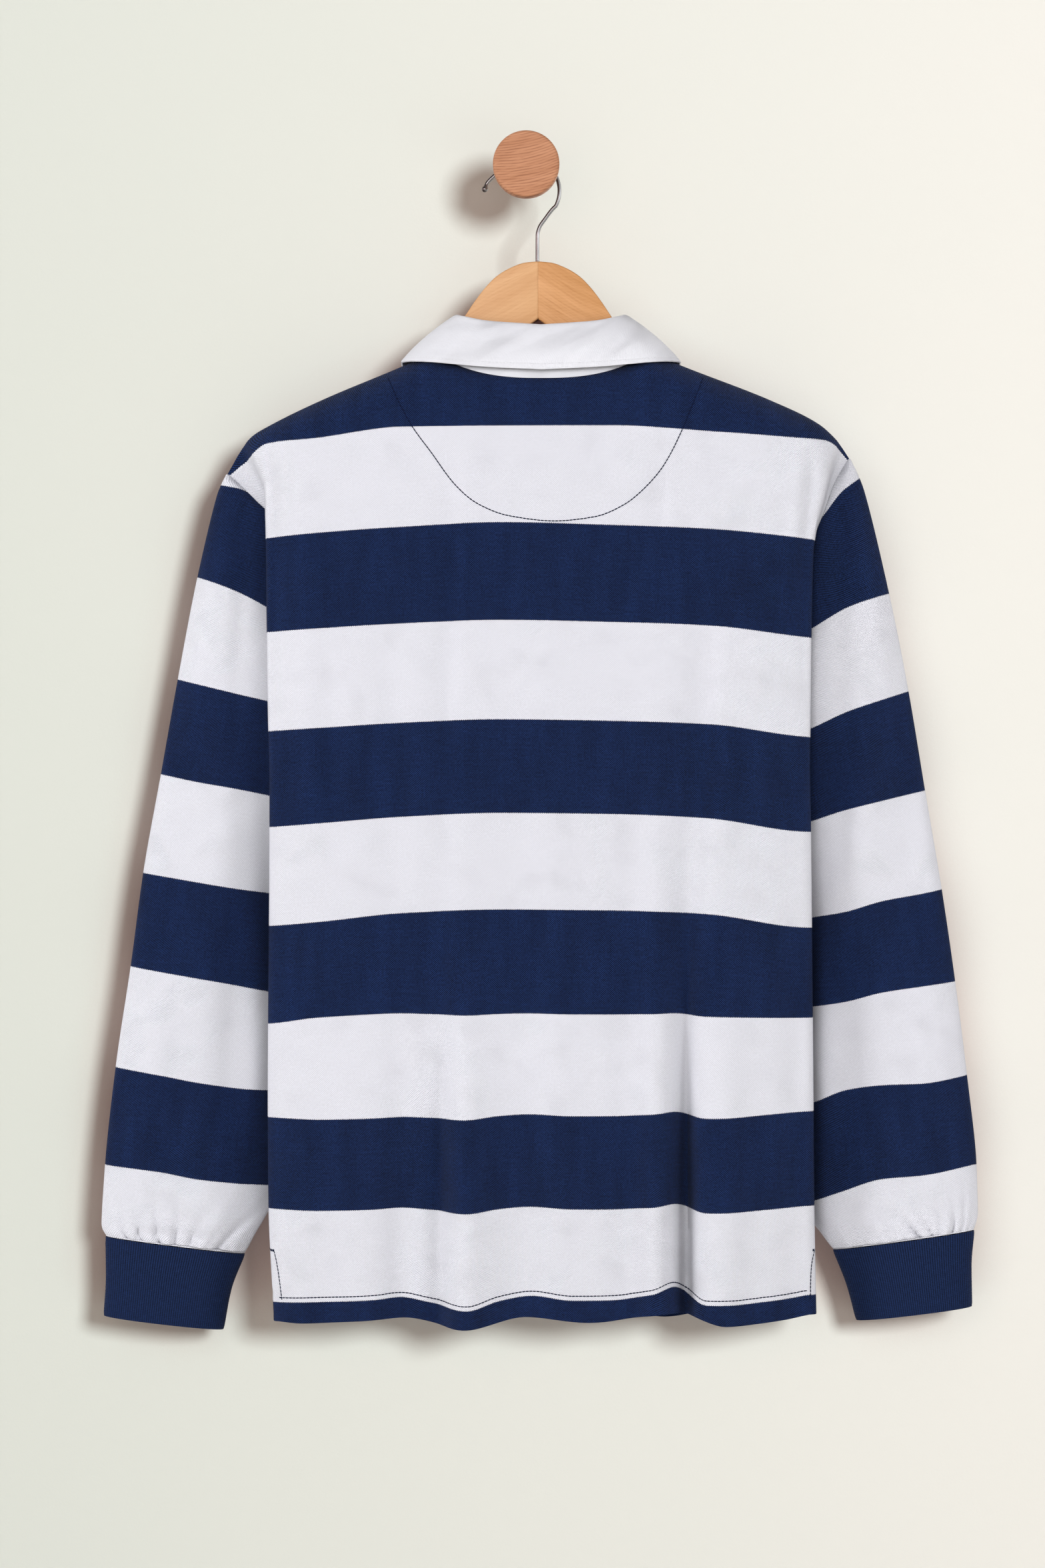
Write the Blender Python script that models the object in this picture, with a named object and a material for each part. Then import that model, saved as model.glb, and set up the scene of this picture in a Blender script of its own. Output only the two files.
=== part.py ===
"""Rugby shirt hung on a contoured wooden hanger, from a round wooden wall peg.

Millimetres in the tables, metres in the meshes.  +Z is up, the wall is the plane y = 0 and
everything stands at negative y.  The origin is the centre of the peg's flat rear face.
The shirt hangs with its back panel away from the wall and its front panel towards it.

Every cloth piece is a thin wall round a middle surface.  A middle surface is a grid of points,
rows down the garment and columns across it, and neighbouring pieces share their seam points, so
their walls are mitred at the seam and then drawn apart by the seam gap.
"""
import math

import bmesh
import bpy
import numpy as np

MM = 0.001

# ---------------------------------------------------------------- driving dimensions, millimetres
CLOTH = 1.6                 # jersey knit wall
HEM_CLOTH = 2.8             # turned-up hem, two layers
COLLAR_CLOTH = 2.2
CUFF_CLOTH = 2.4            # rib knit between the ribs
RIB_HEIGHT = 0.8            # ribs standing proud of the cuff
RIBS_ROUND_CUFF = 96
SEAM_GAP = 0.3
SHARPEST_MITRE = 0.8        # cosine of half the turn; past it the walls are drawn back instead
SHARP_DRAW_BACK = 1.3       # how much farther than the corner itself such walls are drawn back
PLACKET_CLOTH = 2.0

BODY_CENTRE_X = 11.0
BODY_CENTRE_Y = -67.0
BODY_HALF_DEPTH = 21.0
BODY_SQUARENESS = 4.0       # exponent of the body's plan, 2 is an ellipse
BODY_TOP_ROUND = 20.0       # height over which the cloth rounds over the hanger
NECK_SETTLE = 260.0         # drop over which columns below the neck reach the body's plan
SEAM_PULL_FROM_BACK = 0.97  # share across from which rows are drawn to the armhole and side seams
SEAM_PULL_FROM_FRONT = 0.90
NECK_SHARE = 0.41           # where the neck points lie between centre and fold edge
HEM_LEVEL = -866.0
HEM_WAVE_FROM = 0.45        # share of the drop below which the hem's waves build up
HEM_WAVE_GROWTH = 2.4
VENT_OPENING = 1.6          # each side of the vent stands back by this at the hem
HEM_DEPTH = 23.0

PLACKET_WIDTH = 30.0
PLACKET_SLOT = 18.0
PLACKET_LENGTH = 150.0
BUTTON_RADIUS = 6.0
BUTTON_THICK = 3.0

# Rows down the body, as levels of the left side seam: eleven rows of armhole, then the side seam.
ARMHOLE_LEVELS = (-230.5, -239, -246.5, -254, -264, -284, -310, -340, -372, -404, -437, -470)
SIDE_LEVELS = (-505, -540, -576, -612, -648, -684, -718, -752, -786, -816, -843, -866)
LEVELS = np.array(ARMHOLE_LEVELS + SIDE_LEVELS, float)
ARMHOLE_ROWS = len(ARMHOLE_LEVELS) - 1
DROP_SHARES = (LEVELS[0] - LEVELS) / (LEVELS[0] - LEVELS[-1])

# Columns from the neck point outwards; past 1 the back panel turns round the fold edge.
BACK_COLUMNS = (0.41, 0.46, 0.50, 0.54, 0.585, 0.65, 0.72, 0.80, 0.875, 0.94, 0.98, 1.0, 1.025)
FRONT_COLUMNS = (0.41, 0.47, 0.53, 0.585, 0.64, 0.70, 0.76, 0.82, 0.875, 0.92, 0.95, 0.965, 0.975)
SHOULDER_COLUMNS = len(BACK_COLUMNS) - 1
BACK_NECK_COLUMNS = 14
FRONT_NECK_COLUMNS = 7      # on each side of the placket

# Shoulder seams: share of the seam from the neck point, x, z.
SHOULDER = {
    "left": ((0.0, -72.0, -140.5), (0.13, -92.0, -149.5), (0.52, -154.5, -175.5),
             (0.78, -195.0, -195.0), (0.87, -207.5, -202.5), (0.94, -216.5, -213.0), (1.0, -227.0, -230.5)),
    "right": ((0.0, 95.0, -140.5), (0.13, 117.0, -149.5), (0.52, 184.5, -175.5),
              (0.78, 221.0, -193.0), (0.88, 233.5, -203.5), (0.94, 240.0, -211.0), (1.0, 245.5, -218.5)),
}
RIDGE_Y = ((0.0, -62.0), (0.5, -59.5), (0.8, -56.5), (1.0, -51.0))   # share of the seam, y

# Fold edges: level, distance of the left and the right edge from the centre line.
FOLD_EDGES = ((-218.0, 205.0, 203.5), (-350.0, 204.5, 202.0), (-500.0, 204.5, 203.8), (-700.0, 205.8, 205.7),
              (-780.0, 205.3, 206.3), (-866.0, 201.3, 207.8))

# How far the panel still follows the shoulder line, by level.
SHOULDER_PULL = {
    "left": ((-230.5, 1.0), (-240.0, 0.75), (-252.0, 0.36), (-262.0, 0.08), (-280.0, 0.0)),
    "right": ((-218.5, 1.0), (-239.0, 0.66), (-259.0, 0.42), (-279.0, 0.17), (-300.0, 0.07), (-345.0, 0.0)),
}

# Armhole seams: level, x, y on the back panel, y on the front panel.
ARMHOLE = {
    "left": ((-230.5, -227.0, -51.0, -51.0), (-240.0, -216.5, -54.5, -47.0), (-252.0, -204.0, -57.5, -44.5),
             (-262.0, -195.0, -60.0, -43.0), (-300.0, -192.8, -61.0, -42.0), (-350.0, -192.0, -61.0, -42.0),
             (-420.0, -190.5, -59.5, -46.0), (-470.0, -188.4, -55.3, -55.3)),
    "right": ((-218.5, 245.5, -51.0, -51.0), (-239.0, 233.5, -55.5, -46.0), (-259.0, 226.0, -58.5, -44.0),
              (-279.0, 218.0, -60.5, -43.0), (-300.0, 213.5, -61.0, -42.0), (-350.0, 211.8, -61.0, -42.0),
              (-420.0, 210.0, -59.5, -46.0), (-463.0, 208.8, -55.3, -55.3)),
}

# Hanging folds of each panel: x at the hem, half-width, depth at the hem (troughs sink towards
# the hollow, ridges stand out), level where the fold begins.
BACK_FOLDS = ((-150.0, 15.0, 2.5, -560.0), (-94.0, 14.0, 6.5, -480.0), (-50.0, 22.0, -4.0, -420.0),
              (20.0, 24.0, 2.5, -600.0), (96.0, 17.0, -4.5, -470.0), (121.0, 9.0, 8.0, -450.0),
              (146.0, 17.0, -4.0, -480.0))
FRONT_FOLDS = ((-120.0, 18.0, 5.0, -500.0), (-70.0, 20.0, -3.0, -520.0), (60.0, 16.0, 5.5, -470.0),
               (105.0, 20.0, -3.5, -500.0), (150.0, 14.0, 4.0, -560.0))

# Waves of the hem line: x, height above the hem's level.  Both end alike at the side seams.
BACK_HEM = ((-185.0, -4.0), (-169.0, -5.0), (-124.0, -3.0), (-91.0, -1.0), (-47.0, -9.0), (0.0, 0.0),
            (47.0, -4.0), (108.0, 2.5), (122.0, 1.0), (150.0, -6.5), (194.0, -2.5), (213.0, 1.0))
FRONT_HEM = ((-185.0, -4.0), (-152.0, -2.0), (-122.0, 2.0), (-75.0, -6.0), (-20.0, 0.0), (30.0, -3.0),
             (62.0, 3.0), (105.0, -5.0), (150.0, 2.0), (190.0, -1.0), (213.0, 1.0))

# Sleeves: outer x, outer z, inner x, inner z, outer y, inner y, half thickness, station by station.
SLEEVE = {
    "left": ((-227.0, -230.5, -199, -236, -51, -53, 4), (-233.0, -243, -194, -258, -50, -52, 6),
             (-249.5, -309, -189, -336, -46, -50, 8), (-264.5, -386, -187, -407, -44, -50, 7.5),
             (-277.5, -459, -188, -477, -44, -47, 9), (-290.5, -532, -180, -553, -45, -33, 14),
             (-300.0, -603, -171, -626, -46, -27, 17), (-311.5, -680, -174, -701, -46, -27, 17),
             (-319.5, -753, -188, -770, -46, -33, 16), (-322.3, -799, -209, -811, -46, -37, 15),
             (-319.0, -809, -215.2, -823, -46, -38, 14)),
    "right": ((245.5, -218.5, 220, -222, -51, -53, 4), (254.5, -238, 214, -258, -50, -52, 6),
              (275.5, -321, 209, -349, -46, -50, 8), (290.5, -395.5, 208, -423, -44, -50, 7.5),
              (303.0, -470.5, 208, -494, -44, -46, 9), (315.5, -545, 200, -571, -45, -33, 14),
              (325.5, -614, 192, -638, -46, -27, 17), (334.5, -685, 195, -710, -46, -27, 17),
              (341.8, -752, 207, -780, -46, -33, 16), (343.0, -790, 226, -808, -46, -37, 15),
              (340.1, -804.3, 234.8, -819.9, -46, -38, 14)),
}
SLEEVE_ROWS = 10            # below the armhole
SLEEVE_HALF_COLUMNS = 10    # from the inner seam to the outer fold, on each face
SLEEVE_SQUARENESS = 2.3
TUBE_FORMED = 0.22          # share of the length below the armhole over which the tube rounds out

# Soft creases of each sleeve: share of the round (0 inner seam, 0.5 outer fold), width in shares,
# depth, first and last station as a share of the length.
SLEEVE_CREASES = {
    "left": ((0.28, 0.07, 2.5, 0.30, 0.95), (0.14, 0.06, -2.0, 0.20, 0.90), (0.78, 0.09, 3.0, 0.25, 0.95)),
    "right": ((0.30, 0.07, 2.5, 0.35, 0.98), (0.19, 0.06, -2.5, 0.15, 0.80), (0.80, 0.09, 3.0, 0.25, 0.95)),
}

# Cuffs, from the seam down: outer x, outer z, inner x, inner z, half thickness.
CUFF = {
    "left": ((-319.0, -809.4, -215.3, -823.4, 14), (-318.6, -840, -226, -851, 15),
             (-320.4, -869.6, -231.7, -881, 15.5)),
    "right": ((340.1, -804.7, 234.9, -820.3, 14), (337.8, -832, 245.5, -847, 15),
              (338.3, -862.5, 252.8, -874, 15.5)),
}
CUFF_Y = (-46.0, -38.0)     # outer and inner end of the seam
CUFF_INNER_COLUMNS = 48

# Collar, by the angle round the neck from centre front (0) over the shoulder (95) to centre back
# (180): angle, reach from the centre, y, z.
COLLAR_CENTRE_X = 11.2
FOLD_LINE = ((0, 0.6, -48.5, -204.0), (30, 32.0, -48.5, -189.0), (60, 52.0, -49.0, -147.0),
             (75, 59.5, -50.0, -122.0), (83, 61.5, -52.0, -115.5), (89, 62.0, -55.5, -112.8),
             (95, 62.3, -61.0, -111.8), (101, 61.8, -66.5, -112.2), (107, 60.5, -71.0, -113.0),
             (120, 55.0, -76.0, -114.6), (140, 42.0, -80.0, -117.5), (180, 0.0, -82.0, -120.8))
FALL_EDGE = ((0, 60.0, -42.8, -262.0), (25, 77.0, -42.8, -236.0), (50, 93.0, -42.8, -203.0),
             (75, 103.0, -42.9, -170.0), (83, 104.5, -46.0, -156.0), (89, 105.3, -54.0, -148.8),
             (97, 105.5, -63.5, -146.9), (110, 100.0, -75.0, -147.2), (123, 90.0, -84.0, -148.2),
             (135, 78.0, -88.5, -149.5), (158, 42.0, -92.0, -153.0), (180, 0.0, -92.3, -155.0))
COLLAR_END = 0.6            # how far each end of the band stops from the centre front
FALL_BULGE = 2.0
# Section of the turned fold: out from the band and up from its top edge.
FOLD_ROLL = ((-1.1, -1.1), (1.0, -0.9), (2.8, -2.8))
FALL_ROWS = 5

# Front neckline, by share from centre front to the neck point: reach from the centre, y, z.
FRONT_NECK = ((0.0, 9.0, -46.0, -228.0), (0.25, 33.0, -46.2, -218.0), (0.5, 57.0, -47.0, -192.0),
              (0.72, 75.0, -49.5, -162.0), (0.88, 83.0, -53.5, -145.0), (1.0, 84.0, -62.0, -140.5))
BACK_NECK_CORNER = 0.93     # a column beside each neck point, where the neckline turns to the back
BACK_NECK_DEPTH = 22.0      # how far the back neckline stands out from the ridge
BACK_NECK_LEVEL = -161.0

# Hanger, each arm by the distance from its middle: top, bottom, y, half thickness.
HANGER_X = 9.0
HANGER_TOP_SCOOP = ((0, -70.5), (10, -71.5), (20, -75), (31, -81.5), (40, -90.5), (48, -101), (55, -111.5),
                    (61, -120.5), (66, -128.5), (71, -136.5), (76, -141.8), (83, -146.5), (100, -153.0))
HANGER_ARM = {
    "left": ((100, -153.0, -181, -61.5, 5.5), (163.5, -178.7, -205, -61.5, 5),
             (192, -194.0, -213, -61.5, 4.5), (201, -200.5, -215, -61.5, 3.5)),
    "right": ((100, -153.0, -181, -61.5, 5.5), (176, -179.4, -204, -61.5, 5),
              (203, -195.0, -211, -61.5, 4.5), (211, -200.5, -214, -61.5, 3.5)),
}
HANGER_BOTTOM_SCOOP = ((0, -114), (20, -120), (55, -149), (81, -170))
HANGER_PLANE_Y = -62.0
HANGER_HALF_THICK = 6.0

# Hook: a round bend over the peg, then an easy S down to the shank.
WIRE_RADIUS = 1.45
HOOK_CENTRE = (0.0, -16.6)
HOOK_BEND = 25.2
HOOK_TIP_FLARE = 4.5
HOOK_TIP_BALL = 2.4
SHANK_X = 8.5
HOOK_NECK = ((20.9, -29.5), (14.8, -37.3), (9.9, -44.8), (8.6, -50.0), (8.5, -58.0), (8.5, -69.9))

# Peg
PEG_NECK_RADIUS = 6.8
PEG_DISC_RADIUS = 25.0
PEG_DISC_THICK = 14.0
PEG_FACE_Y = -90.0
PEG_EDGE_ROUND = 2.2

# name: colour, roughness, metallic
FINISHES = {
    "jersey": ((0.014, 0.024, 0.07), 0.9, 0.0), "navy_rib": ((0.014, 0.022, 0.06), 0.9, 0.0),
    "collar_twill": ((0.82, 0.82, 0.86), 0.85, 0.0), "button": ((0.85, 0.85, 0.83), 0.4, 0.0),
    "hanger_wood": ((0.76, 0.45, 0.20), 0.4, 0.0), "peg_wood": ((0.60, 0.36, 0.20), 0.5, 0.0),
    "chrome": ((0.8, 0.8, 0.82), 0.15, 1.0),
}


# ---------------------------------------------------------------- curves through short tables
def smooth(table, column, at):
    """Value of a table's column at `at`: cubic pieces that pass every row and never overshoot."""
    rows = np.array(table, float)
    if rows[0, 0] > rows[-1, 0]:
        rows = rows[::-1]
    known, values = rows[:, 0], rows[:, column]
    step = np.diff(known)
    slope = np.diff(values) / step
    tangent = np.zeros_like(values)
    same_way = slope[:-1] * slope[1:] > 0
    total = np.where(same_way, slope[:-1] + slope[1:], 1.0)
    tangent[1:-1] = np.where(same_way, 2 * slope[:-1] * slope[1:] / total, 0.0)
    tangent[0], tangent[-1] = slope[0], slope[-1]
    at = np.clip(np.asarray(at, float), known[0], known[-1])
    i = np.clip(np.searchsorted(known, at, side="right") - 1, 0, len(step) - 1)
    t = (at - known[i]) / step[i]
    return (values[i] * (1 + 2 * t) * (1 - t) ** 2 + values[i + 1] * t ** 2 * (3 - 2 * t)
            + step[i] * (tangent[i] * t * (1 - t) ** 2 - tangent[i + 1] * t ** 2 * (1 - t)))


def ease(share):
    """0 to 1 with level ends."""
    share = np.clip(share, 0.0, 1.0)
    return share * share * (3 - 2 * share)


def unit(vectors):
    return vectors / np.maximum(np.linalg.norm(vectors, axis=-1, keepdims=True), 1e-9)


# ---------------------------------------------------------------- body panels
def shoulder_line(side, share):
    """Points of a shoulder seam, from the neck point (0) to the shoulder point (1)."""
    return np.stack([smooth(SHOULDER[side], 1, share), smooth(RIDGE_Y, 1, share),
                     smooth(SHOULDER[side], 2, share)], axis=-1)


def back_neck_line(across):
    """Back neckline: `across` runs -1 to 1 between the neck points; it bows down and outwards."""
    neck = shoulder_line("left", 0.0), shoulder_line("right", 0.0)
    middle, half = (neck[0][0] + neck[1][0]) / 2, (neck[1][0] - neck[0][0]) / 2
    bow = (1 - np.abs(across) ** 2.6)
    return np.stack([middle + half * across, neck[0][1] - BACK_NECK_DEPTH * bow ** 0.4,
                     neck[0][2] + (BACK_NECK_LEVEL - neck[0][2]) * bow], axis=-1)


def front_neck_line(side, share):
    """Half of the front neckline, from the placket's slot (0) to the neck point (1)."""
    sign = -1.0 if side == "left" else 1.0
    neck = shoulder_line(side, 0.0)
    reach = smooth(FRONT_NECK, 1, share)
    end = FRONT_NECK[-1]
    x = BODY_CENTRE_X + sign * reach + (neck[0] - BODY_CENTRE_X - sign * end[1]) * ease(share)
    return np.stack([x, smooth(FRONT_NECK, 2, share), smooth(FRONT_NECK, 3, share)], axis=-1)


def plan(across, level, face):
    """Plan of the hanging body: x, y where `across` is the signed share from centre to fold edge.

    The outline is a superellipse.  Past a share of 1 it comes back in on the other face.
    """
    share = np.abs(across)
    inside = np.where(share <= 1, share, 2 - share)
    facing = np.where(share <= 1, face, -face)
    reach = np.where(across < 0, smooth(FOLD_EDGES, 1, level), smooth(FOLD_EDGES, 2, level))
    bulge = (1 - inside ** BODY_SQUARENESS) ** (1 / BODY_SQUARENESS)
    x = BODY_CENTRE_X + np.sign(across) * reach * inside
    return x, BODY_CENTRE_Y + facing * BODY_HALF_DEPTH * bulge


def fold_depth(folds, x, z):
    """Sum of the hanging folds: bells across, growing steadily from where each begins to the hem."""
    depth = np.zeros_like(x)
    for middle, half_width, deep, begins in folds:
        grown = ease((begins - z) / (begins - HEM_LEVEL))
        depth += deep * grown * np.exp(-((x - middle) / half_width) ** 2)
    return depth


def panel_grid(face, across, top):
    """Middle surface of a body panel.  face is -1 for the back and 1 for the front.

    Each column hangs from a point of the top edge (neckline or shoulder seam) to the hem.  It
    leaves the top edge's plan and reaches the body's plan, and the armhole end of each row is
    drawn to the armhole seam.
    """
    drop = DROP_SHARES[:, None]
    hem_x = plan(across, HEM_LEVEL, face)[0]
    wave = smooth(BACK_HEM if face < 0 else FRONT_HEM, 1, hem_x)
    grown = np.clip((drop - HEM_WAVE_FROM) / (1 - HEM_WAVE_FROM), 0, 1) ** HEM_WAVE_GROWTH
    z = top[None, :, 2] + (HEM_LEVEL - top[:, 2])[None, :] * drop + wave * grown
    side_level = z[:, :1] + (z[:, -1:] - z[:, :1]) * ((across + 1) / 2 > 0.5)[None, :]
    w = np.broadcast_to(across, z.shape)
    ring_x, ring_y = plan(w, z, face)
    left = w < 0
    pull = np.where(left, smooth(SHOULDER_PULL["left"], 1, side_level),
                    smooth(SHOULDER_PULL["right"], 1, side_level))
    shoulder = np.clip((np.abs(w) - NECK_SHARE) / (1 - NECK_SHARE), 0, 1)
    fall = (top[None, :, 2] - z)
    settle = ease(fall / NECK_SETTLE)
    x = ring_x + (top[None, :, 0] - ring_x) * np.where(shoulder > 0, pull, 1 - settle)
    rounding = np.sqrt(1 - (1 - np.clip(fall / BODY_TOP_ROUND, 0, 1)) ** 2)
    y = top[None, :, 1] + (ring_y - top[None, :, 1]) * rounding
    end_from = SEAM_PULL_FROM_FRONT if face > 0 else SEAM_PULL_FROM_BACK
    end_at = np.abs(across).max()
    y_column = 3 if face > 0 else 2
    seam_reach = ease((np.abs(w) - end_from) / (end_at - end_from))
    for side, column in (("left", 0), ("right", -1)):
        level = z[:ARMHOLE_ROWS + 1, column]
        seam_x, seam_y = smooth(ARMHOLE[side], 1, level), smooth(ARMHOLE[side], y_column, level)
        seam_x[0], seam_y[0] = top[column, 0], top[column, 1]
        mine = left[0] if side == "left" else ~left[0]
        for row in range(ARMHOLE_ROWS):
            near = seam_reach[row] * mine
            x[row] += (seam_x[row] - x[row, column]) * near
            y[row] += (seam_y[row] - y[row, column]) * near
    y -= face * fold_depth(BACK_FOLDS if face < 0 else FRONT_FOLDS, x, z) * (np.abs(w) < 0.97)
    vent = ease((LEVELS - SIDE_LEVELS[-3]) / (LEVELS[-1] - SIDE_LEVELS[-3]))[:, None]
    y += face * VENT_OPENING * vent * seam_reach
    return np.stack([x, y, z], axis=-1)


def back_panel_points():
    neck = np.linspace(-1, 1, BACK_NECK_COLUMNS - 1)
    neck = np.insert(neck, (1, -1), (-BACK_NECK_CORNER, BACK_NECK_CORNER))
    share = np.linspace(0, 1, SHOULDER_COLUMNS + 1)[1:]
    top = np.vstack([shoulder_line("left", share)[::-1], back_neck_line(neck), shoulder_line("right", share)])
    outer = np.array(BACK_COLUMNS[1:])
    across = np.concatenate([-outer[::-1], neck * NECK_SHARE, outer])
    return panel_grid(-1.0, across, top)


def front_panel_points():
    """The front's middle column of cells lies in the placket's slot; the wall leaves it open."""
    neck = np.linspace(0, 1, FRONT_NECK_COLUMNS + 1)
    share = np.linspace(0, 1, SHOULDER_COLUMNS + 1)[1:]
    top = np.vstack([shoulder_line("left", share)[::-1], front_neck_line("left", neck)[::-1],
                     front_neck_line("right", neck), shoulder_line("right", share)])
    outer = np.array(FRONT_COLUMNS[1:])
    slot = PLACKET_SLOT / 2 / (FOLD_EDGES[0][1])
    inner = slot + (NECK_SHARE - slot) * neck
    across = np.concatenate([-outer[::-1], -inner[::-1], inner, outer])
    return panel_grid(1.0, across, top)


# ---------------------------------------------------------------- sleeves and cuffs
def sleeve_lines(side, station):
    """Outer fold, inner fold and half thickness of a sleeve at each station, 0 to 1 down its length."""
    table = [(i / (len(SLEEVE[side]) - 1),) + row for i, row in enumerate(SLEEVE[side])]
    outer = np.stack([smooth(table, column, station) for column in (1, 5, 2)], axis=-1)
    inner = np.stack([smooth(table, column, station) for column in (3, 6, 4)], axis=-1)
    return outer, inner, smooth(table, 7, station)


def station_at(side, points):
    """Station of the section line (outer fold to inner fold) that passes through each point."""
    stations = np.linspace(0, 1, 400)
    outer, inner, _ = sleeve_lines(side, stations)
    slope = (inner[:, 2] - outer[:, 2]) / (inner[:, 0] - outer[:, 0])
    return np.array([np.interp(-z, -(outer[:, 2] + (x - outer[:, 0]) * slope), stations)
                     for x, _, z in points])


def sleeve_points(side, back, front):
    """Middle surface of a sleeve: its rows start at the armhole rows, its columns at the inner seam.

    Above the underarm a row is an arc from the back armhole seam round the outer fold to the front
    seam; it leaves both seams straight.  Below, the arc closes into a flat superellipse.
    """
    column = 0 if side == "left" else -1
    back_seam, front_seam = (panel[:ARMHOLE_ROWS + 1, column] for panel in (back, front))
    start = station_at(side, back_seam)
    below = start[-1] + (1 - start[-1]) * np.linspace(0, 1, SLEEVE_ROWS + 1)[1:]
    station = np.concatenate([start, below])
    outer, inner, thick = sleeve_lines(side, station)
    outer[0] = back_seam[0]
    thick[:ARMHOLE_ROWS + 1] = np.minimum(thick[:ARMHOLE_ROWS + 1],
                                          np.linalg.norm(outer[:ARMHOLE_ROWS + 1] - back_seam, axis=1) * 0.4)
    formed = ease((station - start[-1]) / TUBE_FORMED)
    unformed = 1 - formed[ARMHOLE_ROWS + 1:, None]
    seam = inner[ARMHOLE_ROWS + 1:] + (back_seam[-1] - inner[ARMHOLE_ROWS]) * unformed
    share = np.linspace(0, 1, SLEEVE_HALF_COLUMNS + 1)
    power = 2 / SLEEVE_SQUARENESS
    turn = np.cos(math.pi * share)
    tube = (1 - np.sign(turn) * np.abs(turn) ** power) / 2, np.sin(math.pi * share) ** power
    drawn = np.sin(math.pi / 2 * share) ** 1.1
    drop = (1 - drawn ** SLEEVE_SQUARENESS) ** (1 / SLEEVE_SQUARENESS) - (1 - drawn)
    drop = drop / drop.max()
    across = drawn + (tube[0] - drawn) * formed[:, None]
    deep = drop + (tube[1] - drop) * formed[:, None]
    faces = []
    for facing, armhole in ((-1.0, back_seam), (1.0, front_seam)):
        near = np.vstack([armhole, seam])
        where = share / 2 if facing < 0 else 1 - share / 2
        swell = np.zeros_like(across)
        for middle, width, depth, begins, ends in SLEEVE_CREASES[side]:
            length = np.sin(math.pi * np.clip((station - begins) / (ends - begins), 0, 1)) ** 2
            swell -= depth * length[:, None] * np.exp(-((where - middle) / width) ** 2)
        arc = near[:, None] + (outer - near)[:, None] * across[..., None]
        arc[..., 1] += facing * (thick[:, None] + swell) * deep
        faces.append(arc)
    faces[1][:, -1] = faces[0][:, -1]
    points = np.concatenate([faces[0], faces[1][:, -2::-1]], axis=1)
    points[0] = back_seam[0]
    points[ARMHOLE_ROWS:, -1] = points[ARMHOLE_ROWS:, 0]
    return points


def cuff_ring(row, count):
    """One ring of a cuff with its points evenly spaced along the flat oval."""
    x_out, z_out, x_in, z_in, thick = row
    outer, inner = np.array([x_out, CUFF_Y[0], z_out]), np.array([x_in, CUFF_Y[1], z_in])
    fine = np.linspace(0, 2 * math.pi, 721)
    power = 2 / SLEEVE_SQUARENESS
    along = np.sign(np.cos(fine)) * np.abs(np.cos(fine)) ** power
    deep = np.sign(np.sin(fine)) * np.abs(np.sin(fine)) ** power
    curve = (outer + inner) / 2 + (outer - inner) / 2 * along[:, None]
    curve[:, 1] -= thick * deep
    run = np.concatenate([[0], np.cumsum(np.linalg.norm(np.diff(curve, axis=0), axis=1))])
    at = np.linspace(0, run[-1], count, endpoint=False)
    return np.stack([np.interp(at, run, curve[:, axis]) for axis in range(3)], axis=-1)


def ring_normals(ring):
    """Outward normals of a closed ring, square to the ring's own plane."""
    tangent = np.roll(ring, -1, axis=0) - np.roll(ring, 1, axis=0)
    centre = ring.mean(axis=0)
    spoke = ring - centre
    axis = unit(np.cross(spoke[0], spoke[len(ring) // 4]))
    normal = unit(np.cross(tangent, axis))
    return normal * np.sign((normal * spoke).sum(axis=1))[:, None]


def build_cuff(name, side):
    """Rib-knit cuff: ribs run down its outside, and its inside is plain."""
    ribs = 2 * RIBS_ROUND_CUFF
    outer, inner = [], []
    for row in CUFF[side]:
        fine, plain = cuff_ring(row, ribs), cuff_ring(row, CUFF_INNER_COLUMNS)
        proud = CUFF_CLOTH / 2 + RIB_HEIGHT * (np.arange(ribs) % 2)
        outer.append(fine + ring_normals(fine) * proud[:, None])
        inner.append(plain - ring_normals(plain) * CUFF_CLOTH / 2)
    mesh = bmesh.new()
    walls = [[[mesh.verts.new(point * MM) for point in ring] for ring in rings] for rings in (outer, inner)]
    for rings in walls:
        for upper, lower in zip(rings, rings[1:]):
            for i in range(len(upper)):
                j = (i + 1) % len(upper)
                mesh.faces.new((upper[i], upper[j], lower[j], lower[i]))
    per_column = ribs // CUFF_INNER_COLUMNS
    for end in (0, -1):
        fine, plain = walls[0][end], walls[1][end]
        for i in range(CUFF_INNER_COLUMNS):
            j = (i + 1) % CUFF_INNER_COLUMNS
            middle = i * per_column + per_column // 2
            for k in range(i * per_column, (i + 1) * per_column):
                near = plain[i] if k < middle else plain[j]
                mesh.faces.new((fine[k], fine[(k + 1) % ribs], near))
            mesh.faces.new((fine[middle], plain[j], plain[i]))
    return finish_mesh(name, mesh, "navy_rib")


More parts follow.
